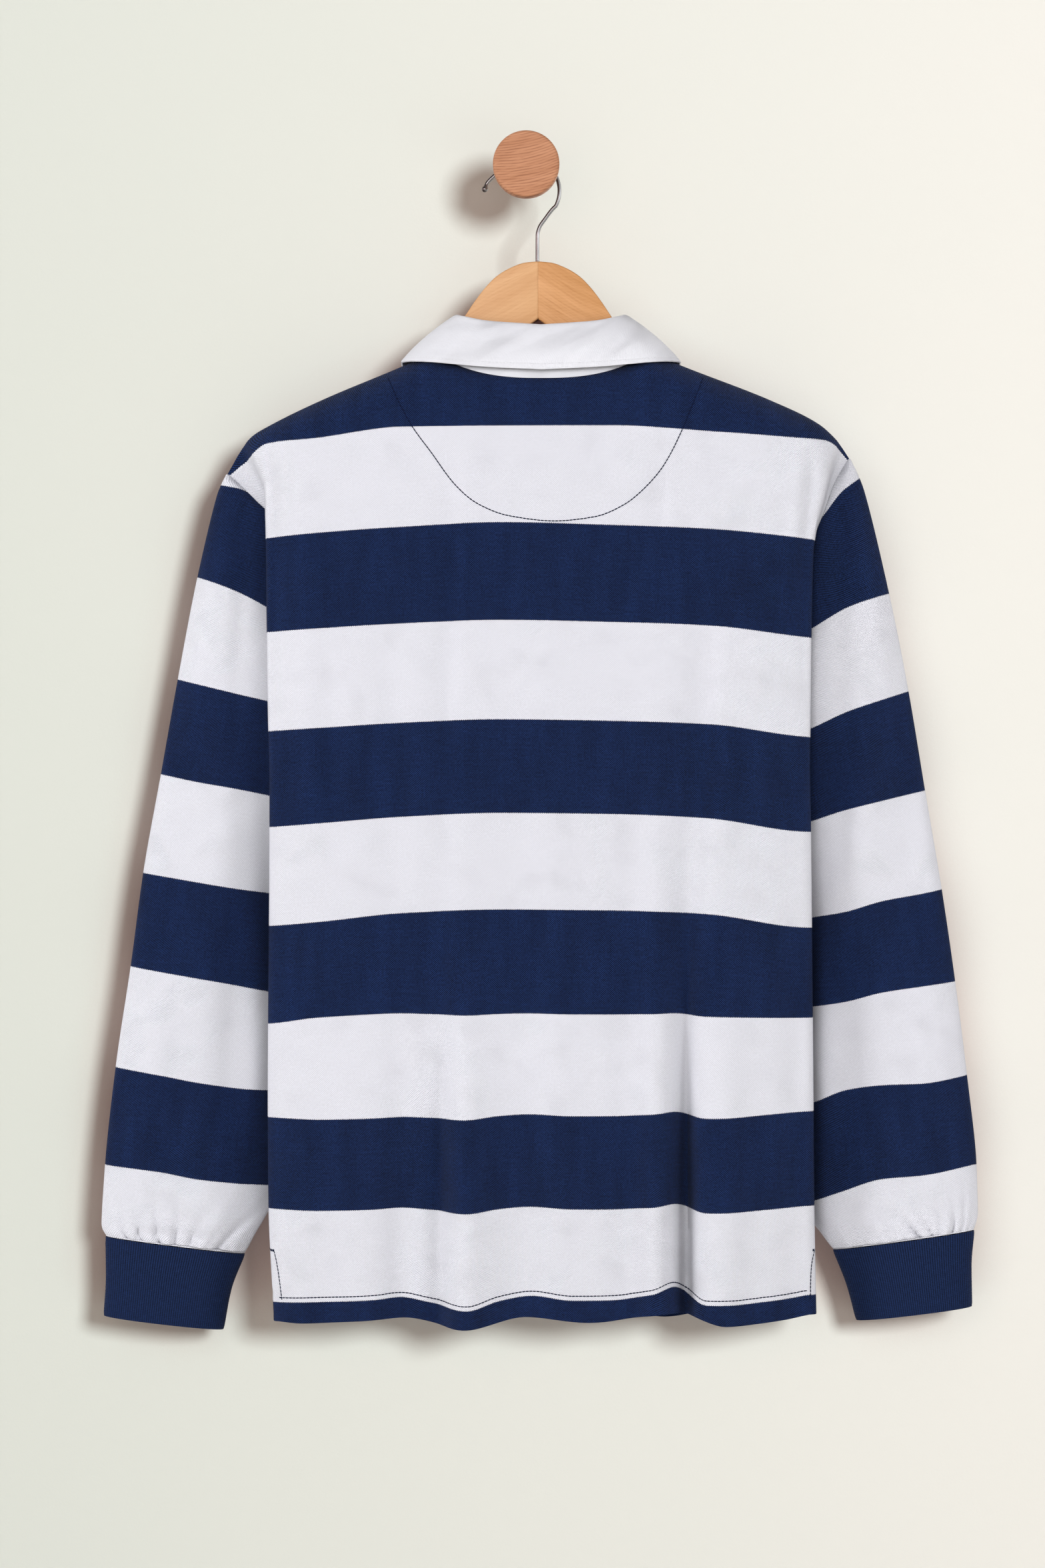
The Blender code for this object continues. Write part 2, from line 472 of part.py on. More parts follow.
# ---------------------------------------------------------------- collar
def collar_points(back, front):
    """Neckline, fold line and fall edge of the collar, from one front end round to the other."""
    first, last = SHOULDER_COLUMNS, SHOULDER_COLUMNS + FRONT_NECK_COLUMNS
    left_front = front[0, first:last + 1][::-1]
    right_front = front[0, last + 1:last + 2 + FRONT_NECK_COLUMNS]
    back_neck = back[0, SHOULDER_COLUMNS:SHOULDER_COLUMNS + BACK_NECK_COLUMNS + 1]
    low = left_front[0, 2] - COLLAR_END
    ends = [np.array([[BODY_CENTRE_X + sign * COLLAR_END, left_front[0, 1], low]]) for sign in (-1, 1)]
    neckline = np.vstack([ends[0], left_front, back_neck[1:-1], right_front[::-1], ends[1]])
    forward = np.linspace(0, 95, FRONT_NECK_COLUMNS + 2)
    backward = np.linspace(95, 265, BACK_NECK_COLUMNS + 1)[1:-1]
    angle = np.concatenate([forward, backward, 360 - forward[::-1]])
    turned = np.where(angle > 180, 360 - angle, angle)
    sign = np.where(angle > 180, 1.0, -1.0)
    lines = []
    for table in (FOLD_LINE, FALL_EDGE):
        reach, y, z = (smooth(table, column, turned) for column in (1, 2, 3))
        lines.append(np.stack([COLLAR_CENTRE_X + sign * reach, y, z], axis=-1))
    return neckline, lines[0], lines[1]


def fold_frame(neckline, fold):
    """Directions square to the fold line: out of the neck, and up from the band."""
    along = unit(np.gradient(fold, axis=0))
    outward = unit(np.cross(along, fold - neckline))
    return outward, np.cross(outward, along)


def collar_stand_grid(neckline, fold):
    """The band from the neckline up to just under the fold."""
    top = fold - fold_frame(neckline, fold)[1] * (COLLAR_CLOTH + 2 * SEAM_GAP)
    share = np.linspace(0, 1, 3)[:, None, None]
    return neckline[None] + (top - neckline)[None] * share


def collar_fall_grid(neckline, fold, edge):
    """The turned-down part: it starts inside the fold, rolls over it and falls to its edge."""
    outward, up = fold_frame(neckline, fold)
    roll = np.stack([fold + outward * out + up * rise for out, rise in FOLD_ROLL])
    share = (np.arange(1, FALL_ROWS + 1) / FALL_ROWS)[:, None, None]
    falling = roll[-1] + (edge - roll[-1])[None] * share
    falling += outward[None] * FALL_BULGE * 4 * share * (1 - share)
    return np.concatenate([roll, falling])


# ---------------------------------------------------------------- walls from grids
def halves(corners, points):
    """Split a cell across its shorter diagonal; a cell of three corners stays as it is."""
    if len(corners) == 3:
        return [corners]
    a, b, c, d = (points[at] for at in corners)
    turn = 0 if np.linalg.norm(a - c) <= np.linalg.norm(b - d) else 1
    first, second, third, fourth = corners[turn:] + corners[:turn]
    return [[first, second, third], [first, third, fourth]]


def weld(piece):
    """Merge grid points that coincide, and split the cells into triangles seen from outside."""
    grid = piece["points"]
    flat = grid.reshape(-1, 3)
    _, first, same = np.unique(np.round(flat, 3), axis=0, return_index=True, return_inverse=True)
    index = same.reshape(grid.shape[:2])
    piece["verts"] = flat[first]
    piece["half"] = piece["thick"].ravel()[first] / 2
    piece["inward"] = piece["doubled"].ravel()[first]
    piece["faces"] = []
    for i, j in np.argwhere(piece["cells"]):
        around = [index[i, j], index[i, j + 1], index[i + 1, j + 1], index[i + 1, j]]
        around = [at for k, at in enumerate(around) if at != around[k - 1]]
        if len(around) > 2:
            piece["faces"] += halves(around[::int(piece["out"])], piece["verts"])
    normal = np.zeros_like(piece["verts"])
    for face in piece["faces"]:
        a, b, c = piece["verts"][face]
        normal[face] += np.cross(b - a, c - a)
    piece["own"] = unit(normal)
    used = {(a, b) for face in piece["faces"] for a, b in zip(face, face[1:] + face[:1])}
    piece["rim"] = sorted((a, b) for a, b in used if (b, a) not in used)


def share_seam_normals(pieces):
    """Give points that two pieces share one common normal, so that their walls meet in a mitre."""
    for piece in pieces:
        weld(piece)
    points = np.vstack([piece["verts"] for piece in pieces])
    normals = np.vstack([piece["own"] for piece in pieces])
    _, same = np.unique(np.round(points, 2), axis=0, return_inverse=True)
    same = same.ravel()
    total = np.zeros((same.max() + 1, 3))
    np.add.at(total, same, normals)
    common = unit(total[same])
    first = 0
    for piece in pieces:
        piece["common"] = common[first:first + len(piece["verts"])]
        first += len(piece["verts"])


def build_wall(piece):
    """Closed wall round a welded grid: outer and inner skins, and a rim along every open edge.

    Edge points are drawn back from the seam along the cloth.  Where two pieces turn too sharply
    for a mitre, each keeps its own normal and is drawn back by its wall as well.
    """
    lean = np.clip((piece["common"] * piece["own"]).sum(axis=-1), 0.2, 1.0)
    sharp = lean < SHARPEST_MITRE
    normal = np.where(sharp[:, None], piece["own"], piece["common"])
    half = piece["half"] / np.where(sharp, 1.0, lean)
    gap = SEAM_GAP / 2 + np.where(sharp, SHARP_DRAW_BACK * piece["half"] * np.sqrt(1 / lean ** 2 - 1), 0.0)
    reach = np.full(len(half), np.inf)
    rim = {frozenset(edge) for edge in piece["rim"]}
    for a, b in {frozenset(edge) for face in piece["faces"] for edge in zip(face, face[1:] + face[:1])} - rim:
        reach[[a, b]] = np.minimum(reach[[a, b]], np.linalg.norm(piece["verts"][a] - piece["verts"][b]))
    gap = np.minimum(gap, 0.6 * reach)
    back_off = np.zeros_like(piece["verts"])
    for a, b in piece["rim"]:
        inwards = unit(np.cross(piece["own"][a] + piece["own"][b], piece["verts"][b] - piece["verts"][a]))
        back_off[[a, b]] += inwards
    points = piece["verts"] + unit(back_off) * gap[:, None]
    outer = points + normal * half[:, None]
    inner = points - normal * (half + piece["inward"])[:, None]
    skins = np.vstack([outer, inner])
    count = len(outer)
    faces = piece["faces"] + [[at + count for at in reversed(face)] for face in piece["faces"]]
    for a, b in piece["rim"]:
        faces += halves([b, a, a + count, b + count], skins)
    mesh = bmesh.new()
    verts = [mesh.verts.new(point * MM) for point in skins]
    for face in faces:
        mesh.faces.new([verts[at] for at in face])
    return finish_mesh(piece["name"], mesh, piece["finish"])


def finish_mesh(name, mesh, finish):
    """Turn a bmesh into a named object with outward faces, smooth shading and its material."""
    bmesh.ops.recalc_face_normals(mesh, faces=mesh.faces)
    data = bpy.data.meshes.new(name)
    mesh.to_mesh(data)
    mesh.free()
    data.shade_smooth()
    data.set_sharp_from_angle(angle=math.radians(40))
    thing = bpy.data.objects.new(name, data)
    bpy.context.scene.collection.objects.link(thing)
    data.materials.append(material(finish))
    return thing


def material(name):
    """One Principled material for each finish, made when it is first asked for."""
    if name in bpy.data.materials:
        return bpy.data.materials[name]
    made = bpy.data.materials.new(name)
    made.use_nodes = True
    colour, roughness, metallic = FINISHES[name]
    shader = made.node_tree.nodes["Principled BSDF"]
    shader.inputs["Base Color"].default_value = (*colour, 1.0)
    shader.inputs["Roughness"].default_value = roughness
    shader.inputs["Metallic"].default_value = metallic
    made.diffuse_color = (*colour, 1.0)
    return made


# ---------------------------------------------------------------- solids of revolution and sweeps
def build_rings(name, rings, finish):
    """Closed solid through rings of points, each with the same count, capped at both ends."""
    mesh = bmesh.new()
    loops = [[mesh.verts.new(np.asarray(point) * MM) for point in ring] for ring in rings]
    for upper, lower in zip(loops, loops[1:]):
        for i in range(len(upper)):
            j = (i + 1) % len(upper)
            mesh.faces.new((upper[i], upper[j], lower[j], lower[i]))
    mesh.faces.new(loops[0])
    mesh.faces.new(loops[-1])
    return finish_mesh(name, mesh, finish)


def circle(count):
    angle = np.arange(count) * 2 * math.pi / count
    return np.cos(angle), np.sin(angle)


def build_peg():
    """Turned peg: a plain neck out of the wall and a thick round disc with softened edges."""
    rear, face = PEG_FACE_Y + PEG_DISC_THICK, PEG_FACE_Y
    r, e = PEG_DISC_RADIUS, PEG_EDGE_ROUND
    profile = [(PEG_NECK_RADIUS, 0.0), (PEG_NECK_RADIUS, rear + 0.01)]
    for turn in np.linspace(0, math.pi / 2, 4):
        profile.append((r - e + e * math.sin(turn), rear - e + e * math.cos(turn)))
    for turn in np.linspace(math.pi / 2, math.pi, 4):
        profile.append((r - e + e * math.sin(turn), face + e + e * math.cos(turn)))
    c, s = circle(32)
    rings = [np.stack([radius * c, np.full(32, y), radius * s], axis=-1) for radius, y in profile]
    return build_rings("wall_peg", rings, "peg_wood")


def hook_route():
    """Middle line of the wire in the hanger's plane, from the tip over the bend to the shank."""
    turn = np.radians(np.linspace(178, -31, 24))
    flare = HOOK_TIP_FLARE * ease((np.degrees(turn) - 140) / 38) ** 1.5
    bend = np.stack([HOOK_CENTRE[0] + (HOOK_BEND + flare) * np.cos(turn),
                     HOOK_CENTRE[1] + HOOK_BEND * np.sin(turn)], axis=-1)
    return np.vstack([bend[:-1], np.array(HOOK_NECK)])


def build_hook():
    """Bent round wire, its tip ended in a small ball."""
    route = hook_route()
    tangent = unit(np.gradient(route, axis=0))
    side = np.stack([tangent[:, 1], -tangent[:, 0]], axis=-1)
    c, s = circle(10)
    rings = []
    ball_centre = route[0] - tangent[0] * HOOK_TIP_BALL
    for polar in np.radians((160, 125, 90, 55)):
        at = ball_centre + tangent[0] * HOOK_TIP_BALL * math.cos(polar)
        rings.append((at, side[0], HOOK_TIP_BALL * math.sin(polar)))
    rings += [(at, across, WIRE_RADIUS) for at, across in zip(route[1:], side[1:])]
    loops = []
    for at, across, radius in rings:
        x, z = at[0] + across[0] * radius * c, at[1] + across[1] * radius * c
        loops.append(np.stack([x, HANGER_PLANE_Y + radius * s, z], axis=-1))
    return build_rings("hanger_hook", loops, "chrome")


def build_hanger_arm(name, side):
    """Half of the hanger: a deep middle, a scooped neck and a long arm that curves to the wall."""
    sign = -1.0 if side == "left" else 1.0
    arm = HANGER_ARM[side]
    end = arm[-1][0]
    stations = np.concatenate([[SEAM_GAP / 2], np.array([12, 22, 32, 41, 49, 57, 66, 75, 85, 100]),
                               np.linspace(120, end, 6)])
    tops = [row[:2] for row in HANGER_TOP_SCOOP] + [row[:2] for row in arm[1:]]
    bottoms = list(HANGER_BOTTOM_SCOOP) + [(row[0], row[2]) for row in arm]
    depths = [(0, HANGER_PLANE_Y), (60, HANGER_PLANE_Y)] + [(row[0], row[3]) for row in arm]
    halves = [(0, HANGER_HALF_THICK), (60, HANGER_HALF_THICK)] + [(row[0], row[4]) for row in arm]
    c, s = circle(12)
    rings = []
    for station in stations:
        top, bottom = smooth(tops, 1, station), smooth(bottoms, 1, station)
        middle, half = (top + bottom) / 2, (top - bottom) / 2
        thick = smooth(halves, 1, station)
        y = smooth(depths, 1, station) + thick * np.sign(c) * np.abs(c) ** 0.55
        z = middle + half * np.sign(s) * np.abs(s) ** 0.45
        rings.append(np.stack([np.full(12, HANGER_X + sign * station), y, z], axis=-1))
    last = rings[-1]
    centre = last.mean(axis=0)
    nose = centre + (last - centre) * 0.55
    nose[:, 0] += sign * 3.0
    return build_rings(name, rings + [nose], "hanger_wood")


# ---------------------------------------------------------------- placket and buttons
def placket_grid(front, face):
    """A strip over the front slit, its points those of the panel moved out (1) or in (-1)."""
    centre = SHOULDER_COLUMNS + FRONT_NECK_COLUMNS
    y_panel = front[2, centre, 1]
    top = front[0, centre, 2] - 2.0
    z = np.linspace(top, top - PLACKET_LENGTH, 7)
    x = BODY_CENTRE_X + PLACKET_WIDTH * np.linspace(-0.5, 0.5, 4)
    grid_x, grid_z = np.meshgrid(x, z)
    away = CLOTH / 2 + SEAM_GAP + PLACKET_CLOTH / 2 + 0.2
    grid_y = np.full_like(grid_x, y_panel) + face * away
    return np.stack([grid_x, grid_y, grid_z], axis=-1)


def build_button(name, centre_x, centre_y, centre_z):
    """Small turned button with a softened rim, its flat back towards the placket."""
    profile = ((BUTTON_RADIUS * 0.85, 0.0), (BUTTON_RADIUS, 0.3 * BUTTON_THICK),
               (BUTTON_RADIUS, 0.7 * BUTTON_THICK), (BUTTON_RADIUS * 0.82, BUTTON_THICK))
    c, s = circle(12)
    rings = [np.stack([centre_x + r * c, np.full(12, centre_y + y), centre_z + r * s], axis=-1)
             for r, y in profile]
    return build_rings(name, rings, "button")


# ---------------------------------------------------------------- the whole
def wall(name, points, out, thick, finish, doubled=0.0, cells=None):
    """A piece to be made from a grid: its wall, its finish and which cells are cloth."""
    shape = points.shape[:2]
    if cells is None:
        cells = np.ones((shape[0] - 1, shape[1] - 1), bool)
    return {"name": name, "points": points, "out": out, "finish": finish, "cells": cells,
            "thick": np.full(shape, float(thick)), "doubled": np.broadcast_to(doubled, shape).astype(float)}


def main():
    for old in list(bpy.data.objects):
        bpy.data.objects.remove(old, do_unlink=True)
    back, front = back_panel_points(), front_panel_points()
    doubled = (LEVELS < HEM_LEVEL + HEM_DEPTH + 1)[:, None] * (HEM_CLOTH - CLOTH)
    front_cells = np.ones((len(LEVELS) - 1, front.shape[1] - 1), bool)
    slot_column = SHOULDER_COLUMNS + FRONT_NECK_COLUMNS
    slot_rows = int(np.sum(front[:, slot_column, 2] > front[0, slot_column, 2] - PLACKET_LENGTH + 10))
    front_cells[:slot_rows, slot_column] = False
    pieces = [wall("back_panel", back, -1, CLOTH, "jersey", doubled),
              wall("front_panel", front, 1, CLOTH, "jersey", doubled, front_cells)]
    for side, out in (("left", 1), ("right", -1)):
        pieces.append(wall("sleeve_" + side, sleeve_points(side, back, front), out, CLOTH, "jersey"))
    neckline, fold, edge = collar_points(back, front)
    stand, fall = collar_stand_grid(neckline, fold), collar_fall_grid(neckline, fold, edge)
    pieces.append(wall("collar_stand", stand, 1, COLLAR_CLOTH, "collar_twill"))
    pieces.append(wall("collar_fall", fall, -1, COLLAR_CLOTH, "collar_twill"))
    for name, face in (("placket_over", 1.0), ("placket_under", -1.0)):
        pieces.append(wall(name, placket_grid(front, face), 1, PLACKET_CLOTH, "collar_twill"))
    share_seam_normals(pieces)
    for piece in pieces:
        build_wall(piece)
    for side in ("left", "right"):
        build_cuff("cuff_" + side, side)
        build_hanger_arm("hanger_arm_" + side, side)
    over = placket_grid(front, 1.0)
    for number, row in enumerate((1, 3, 5), start=1):
        y = over[row, 1, 1] + PLACKET_CLOTH / 2 + SEAM_GAP
        build_button(f"button_{number}", BODY_CENTRE_X, y, over[row, 1, 2])
    build_hook()
    build_peg()


main()
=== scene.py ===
"""Hooped rugby shirt hung back outwards on a wooden hanger, from a round wooden peg on a pale wall.

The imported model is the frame.  Every cloth solid is replaced by a finer shell on the same middle
surface, with its creases, hoops, knit and stitching; the hanger, hook and peg are replaced by
smoother ones of the same sizes.  Tables are in millimetres, meshes in metres; +Z is up, the wall
is y = 0 and the shirt hangs at negative y with its back panel outwards.
"""

import logging
import math
from dataclasses import dataclass, field
from enum import Enum

import bpy
import numpy as np
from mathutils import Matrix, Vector
from mathutils.bvhtree import BVHTree

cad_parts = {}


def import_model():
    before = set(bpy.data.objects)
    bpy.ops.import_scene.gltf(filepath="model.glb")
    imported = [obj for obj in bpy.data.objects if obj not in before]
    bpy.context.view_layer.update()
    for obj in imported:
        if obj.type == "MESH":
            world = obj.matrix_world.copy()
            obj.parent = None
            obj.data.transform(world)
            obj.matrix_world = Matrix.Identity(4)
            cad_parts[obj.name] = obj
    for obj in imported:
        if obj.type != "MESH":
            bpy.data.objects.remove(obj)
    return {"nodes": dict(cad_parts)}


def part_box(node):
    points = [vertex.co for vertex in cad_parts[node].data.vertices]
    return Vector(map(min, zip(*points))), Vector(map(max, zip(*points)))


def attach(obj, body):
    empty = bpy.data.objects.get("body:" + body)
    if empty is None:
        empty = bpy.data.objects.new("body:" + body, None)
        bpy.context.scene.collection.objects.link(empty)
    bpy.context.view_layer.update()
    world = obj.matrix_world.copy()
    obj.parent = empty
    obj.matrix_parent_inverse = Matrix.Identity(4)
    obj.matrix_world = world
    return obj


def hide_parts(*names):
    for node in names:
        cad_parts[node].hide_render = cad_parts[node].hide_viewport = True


LOG = logging.getLogger("rugby_shirt")
MM = 0.001
BODY = "root"

Array = np.ndarray
Table = tuple[tuple[float, ...], ...]
Colour = tuple[float, float, float]
WALLWARDS = np.array([0.0, 1.0, 0.0])


# ------------------------------------------------------------------------------ plain arithmetic
def smooth(table: Table, column: int, at: Array | float) -> Array:
    """Value of one column of a table, by cubic pieces that pass every row and never overshoot.

    Formula: Hermite cubics between the rows, whose slope at a row is the harmonic mean of the
    slopes on its two sides, or nought where those differ in sign.

    Args:
        table: rows sorted by their first entry, rising or falling.
        column: the column that is read.
        at: where to read it; beyond the table the end value holds.

    Returns:
        The values, in the shape of `at`.
    """
    rows = np.array(table, float)
    if rows[0, 0] > rows[-1, 0]:
        rows = rows[::-1]
    known, values = rows[:, 0], rows[:, column]
    step = np.diff(known)
    slope = np.diff(values) / step
    tangent = np.zeros_like(values)
    same_way = slope[:-1] * slope[1:] > 0
    total = np.where(same_way, slope[:-1] + slope[1:], 1.0)
    tangent[1:-1] = np.where(same_way, 2 * slope[:-1] * slope[1:] / total, 0.0)
    tangent[0], tangent[-1] = slope[0], slope[-1]
    at = np.clip(np.asarray(at, float), known[0], known[-1])
    i = np.clip(np.searchsorted(known, at, side="right") - 1, 0, len(step) - 1)
    t = (at - known[i]) / step[i]
    return (values[i] * (1 + 2 * t) * (1 - t) ** 2 + values[i + 1] * t ** 2 * (3 - 2 * t)
            + step[i] * (tangent[i] * t * (1 - t) ** 2 - tangent[i + 1] * t ** 2 * (1 - t)))


def ease(share: Array | float) -> Array:
    """Smoothstep: 0 to 1 with level ends, 3s^2 - 2s^3."""
    share = np.clip(share, 0.0, 1.0)
    return share * share * (3 - 2 * share)


def unit(vectors: Array) -> Array:
    """Vectors of length one along the last axis."""
    return vectors / np.maximum(np.linalg.norm(vectors, axis=-1, keepdims=True), 1e-9)


def signed_power(values: Array, power: float) -> Array:
    """Values raised to a power, their sign kept."""
    return np.sign(values) * np.abs(values) ** power


def circle(count: int) -> tuple[Array, Array]:
    """Cosine and sine of evenly spaced angles all round."""
    angle = np.arange(count) * 2 * math.pi / count
    return np.cos(angle), np.sin(angle)


def bell(off: Array, width: float) -> Array:
    """Bell curve exp(-(off / width)^2), 1 in the middle."""
    return np.exp(-(off / width) ** 2)


def smooth_all(table: Table, columns: tuple[int, ...], at: Array | float) -> Array:
    """Several columns of a table, read as `smooth` does, side by side on a last axis."""
    return np.stack([smooth(table, column, at) for column in columns], axis=-1)


def by_share(rows: Table) -> Table:
    """Rows with their place from 0 (first) to 1 (last) put in front."""
    return tuple((i / (len(rows) - 1), *row) for i, row in enumerate(rows))


def run_of(points: Array) -> Array:
    """Distance run along a row of points, from 0 at the first one."""
    return np.concatenate([[0.0], np.cumsum(np.linalg.norm(np.diff(points, axis=0), axis=1))])


def read_along(at: Array | float, run: Array, values: Array) -> Array:
    """Each column of `values`, known at the distances `run`, read straight between them at `at`."""
    return np.stack([np.interp(at, run, column) for column in values.T], axis=-1)


def curve_through(corners: Array, step: float = 0.0, count: int = 2) -> Array:
    """Even points on the smooth curve through x and z corners, by a step or at least by a count."""
    run = run_of(corners)
    at = np.linspace(0, run[-1], max(int(run[-1] / step), count) if step else count)
    return np.stack([smooth(tuple(zip(run, column)), 1, at) for column in corners.T], axis=-1)


def run_lengths(points: Array, axis: int, used: tuple[int, ...] = (0, 1, 2)) -> Array:
    """Distance run along one grid direction, counted from the first point, in metres.

    Args:
        points: rows by columns by 3, millimetres.
        axis: 0 runs down the rows, 1 across the columns.
        used: coordinates that count, such as (0, 1) for the distance seen from above.
    """
    step = np.linalg.norm(np.diff(points[..., used], axis=axis), axis=-1)
    pad = [(1, 0) if k == axis else (0, 0) for k in range(2)]
    return np.pad(np.cumsum(step, axis=axis), pad) * MM


def cloth_chart(grid: Array) -> dict[str, Array]:
    """Chart called cloth: distance across and down the grid, in metres."""
    return {"cloth": np.stack([run_lengths(grid, 1), run_lengths(grid, 0)], axis=-1)}


@dataclass(frozen=True)
class Crease:
    """A soft trough (depth > 0) or ridge (depth < 0) along a line of the cloth, seen face on.

    Its depth is a bell across the line and a sine arch along it, or it grows all the way down to the
    hem. `lean` narrows or widens the bell on its right side, so that one wall is steeper.
    """

    start: tuple[float, float]
    end: tuple[float, float]
    width: float
    depth: float
    lean: float = 1.0
    to_hem: bool = False
    hem_growth: float = 1.25  # those that grow to the hem are full at 1 / this of their length

    def sink(self, x: Array, z: Array) -> Array:
        """How deep the crease sinks each point, in millimetres."""
        a, b = np.array(self.start), np.array(self.end)
        length = np.linalg.norm(b - a)
        along = ((x - a[0]) * (b[0] - a[0]) + (z - a[1]) * (b[1] - a[1])) / length ** 2
        off = ((x - a[0]) * (b[1] - a[1]) - (z - a[1]) * (b[0] - a[0])) / length
        arched = np.sin(math.pi * np.clip(along, 0, 1)) ** 0.8
        arch = ease(along * self.hem_growth) if self.to_hem else arched
        right = off * np.sign(a[1] - b[1] + 1e-9) < 0
        return self.depth * arch * bell(off / self.width, np.where(right, self.lean, 1.0))


def creases(rows: Table, gain: float = 1.0) -> tuple[Crease, ...]:
    """Creases from rows of start x, start z, end x, end z, width, depth and, if uneven, lean.

    Those that end at the hem grow towards it; `gain` deepens them all.
    """
    hem = -860
    return tuple(Crease(r[:2], r[2:4], r[4], r[5] * gain, *(r[6:] or (1.0,)), r[3] < hem) for r in rows)


# ------------------------------------------------------------------------------ shells of cloth
@dataclass
class Shell:
    """A closed wall round a grid of middle points, with charts (UV maps) that follow the cloth.

    Formula: outer point = middle + normal * (half wall + relief), inner = middle - normal * half
    wall; rims join them along every open edge.  Grid points that coincide are one point.

    Attributes:
        points: rows by columns by 3, millimetres.
        out: 1 or -1, whichever turns row x column towards the outside.
        thick: the wall, one value or one for each point.
        charts: UV maps, each rows by columns by 2.
        relief: extra height of the outer skin; `inward` is extra depth of the inner one.
        gap: how far open edges are drawn back from a seam.
        cells: which cells of the grid are cloth; all of them if None.
        normals: outward directions at the grid's points, known once it is built.
    """

    name: str
    points: Array
    out: int
    thick: float | Array
    charts: dict[str, Array]
    relief: float | Array = 0.0
    gap: float = 0.15
    cells: Array | None = None
    inward: float | Array = 0.0
    normals: Array = field(init=False)

    def build(self) -> bpy.types.Object:
        """Make the mesh object."""
        shape = self.points.shape[:2]
        flat = self.points.reshape(-1, 3)
        _, first, same = np.unique(np.round(flat, 3), axis=0, return_index=True, return_inverse=True)
        same = same.ravel()
        verts = flat[first]
        thick, raised, sunk = (np.broadcast_to(value, shape).ravel()[first]
                               for value in (self.thick, self.relief, self.inward))
        grid = self._triangles(shape, same, flat)
        tri = same[grid]
        corners = verts[tri]
        face = np.cross(corners[:, 1] - corners[:, 0], corners[:, 2] - corners[:, 0])
        normal = np.zeros_like(verts)
        for k in range(3):
            np.add.at(normal, tri[:, k], face)
        normal = unit(normal)
        self.normals = normal[same].reshape(*shape, 3)
        rim, rim_grid = self._rim(tri, grid, len(verts))
        pull = np.zeros_like(verts)
        edge = verts[rim[:, 1]] - verts[rim[:, 0]]
        inwards = unit(np.cross(normal[rim[:, 0]] + normal[rim[:, 1]], edge))
        np.add.at(pull, rim[:, 0], inwards)
        np.add.at(pull, rim[:, 1], inwards)
        middle = verts + unit(pull) * self.gap
        count = len(verts)
        skins = np.vstack([middle + normal * (thick / 2 + raised)[:, None],
                           middle - normal * (thick / 2 + sunk)[:, None]])
        a, b = rim[:, 0], rim[:, 1]
        ga, gb = rim_grid[:, 0], rim_grid[:, 1]
        faces = np.vstack([tri, tri[:, ::-1] + count, np.stack([b, a, a + count], axis=1),
                           np.stack([b, a + count, b + count], axis=1)])
        sources = np.vstack([grid, grid[:, ::-1], np.stack([gb, ga, ga], axis=1),
                             np.stack([gb, ga, gb], axis=1)])
        return make_object(self.name, skins, faces,
                           {key: chart.reshape(-1, 2)[sources.ravel()] for key, chart in self.charts.items()})

    def _triangles(self, shape: tuple[int, int], same: Array, flat: Array) -> Array:
        """Grid numbers of the triangles, seen from outside: cells split across the shorter diagonal."""
        number = np.arange(shape[0] * shape[1]).reshape(shape)
        quads = grid_cells(number)
        if self.cells is not None:
            quads = quads[self.cells.ravel()]
        span = np.linalg.norm(flat[quads[:, :2]] - flat[quads[:, 2:]], axis=-1)
        quads = np.where((span[:, 0] <= span[:, 1])[:, None], quads, np.roll(quads, -1, axis=1))
        tri = np.concatenate([quads[:, (0, 1, 2)], quads[:, (0, 2, 3)]])
        if self.out < 0:
            tri = tri[:, ::-1]
        joined = same[tri]
        return tri[(joined != np.roll(joined, -1, axis=1)).all(axis=1)]

    @staticmethod
    def _rim(tri: Array, grid: Array, count: int) -> tuple[Array, Array]:
        """Directed edges that only one triangle uses, as joined and as grid numbers."""
        edges, sources = (np.concatenate([which[:, (0, 1)], which[:, (1, 2)], which[:, (2, 0)]])
                          for which in (tri, grid))
        lone = ~np.isin(edges[:, 0] * count + edges[:, 1], edges[:, 1] * count + edges[:, 0])
        return edges[lone], sources[lone]


def grid_cells(number: Array) -> Array:
    """Corner numbers of each cell of a grid of point numbers, row by row."""
    corners = number[:-1, :-1], number[:-1, 1:], number[1:, 1:], number[1:, :-1]
    return np.stack(corners, axis=-1).reshape(-1, 4)


def make_object(name: str, points: Array, faces: Array, charts: dict[str, Array] | None = None,
                sharp: float = 50.0) -> bpy.types.Object:
    """Mesh object at the origin from arrays.

    Args:
        name: the object's name.
        points: n by 3, millimetres.
        faces: m by 3 or m by 4 vertex numbers.
        charts: UV maps, one pair for each face corner in order.
        sharp: edges that turn by more than this many degrees stay sharp.

    Returns:
        The linked object.
    """
    data = bpy.data.meshes.new(name)
    count, size = faces.shape
    data.vertices.add(len(points))
    data.vertices.foreach_set("co", (points * MM).ravel())
    data.loops.add(count * size)
    data.loops.foreach_set("vertex_index", faces.ravel().astype(np.int32))
    data.polygons.add(count)
    data.polygons.foreach_set("loop_start", np.arange(0, count * size, size, dtype=np.int32))
    for key, pairs in (charts or {}).items():
        layer = data.uv_layers.new(name=key)
        layer.uv.foreach_set("vector", pairs.astype(np.float32).ravel())
    data.update(calc_edges=True)
    data.validate()
    data.shade_smooth()
    data.set_sharp_from_angle(angle=math.radians(sharp))
    thing = bpy.data.objects.new(name, data)
    bpy.context.scene.collection.objects.link(thing)
    return thing


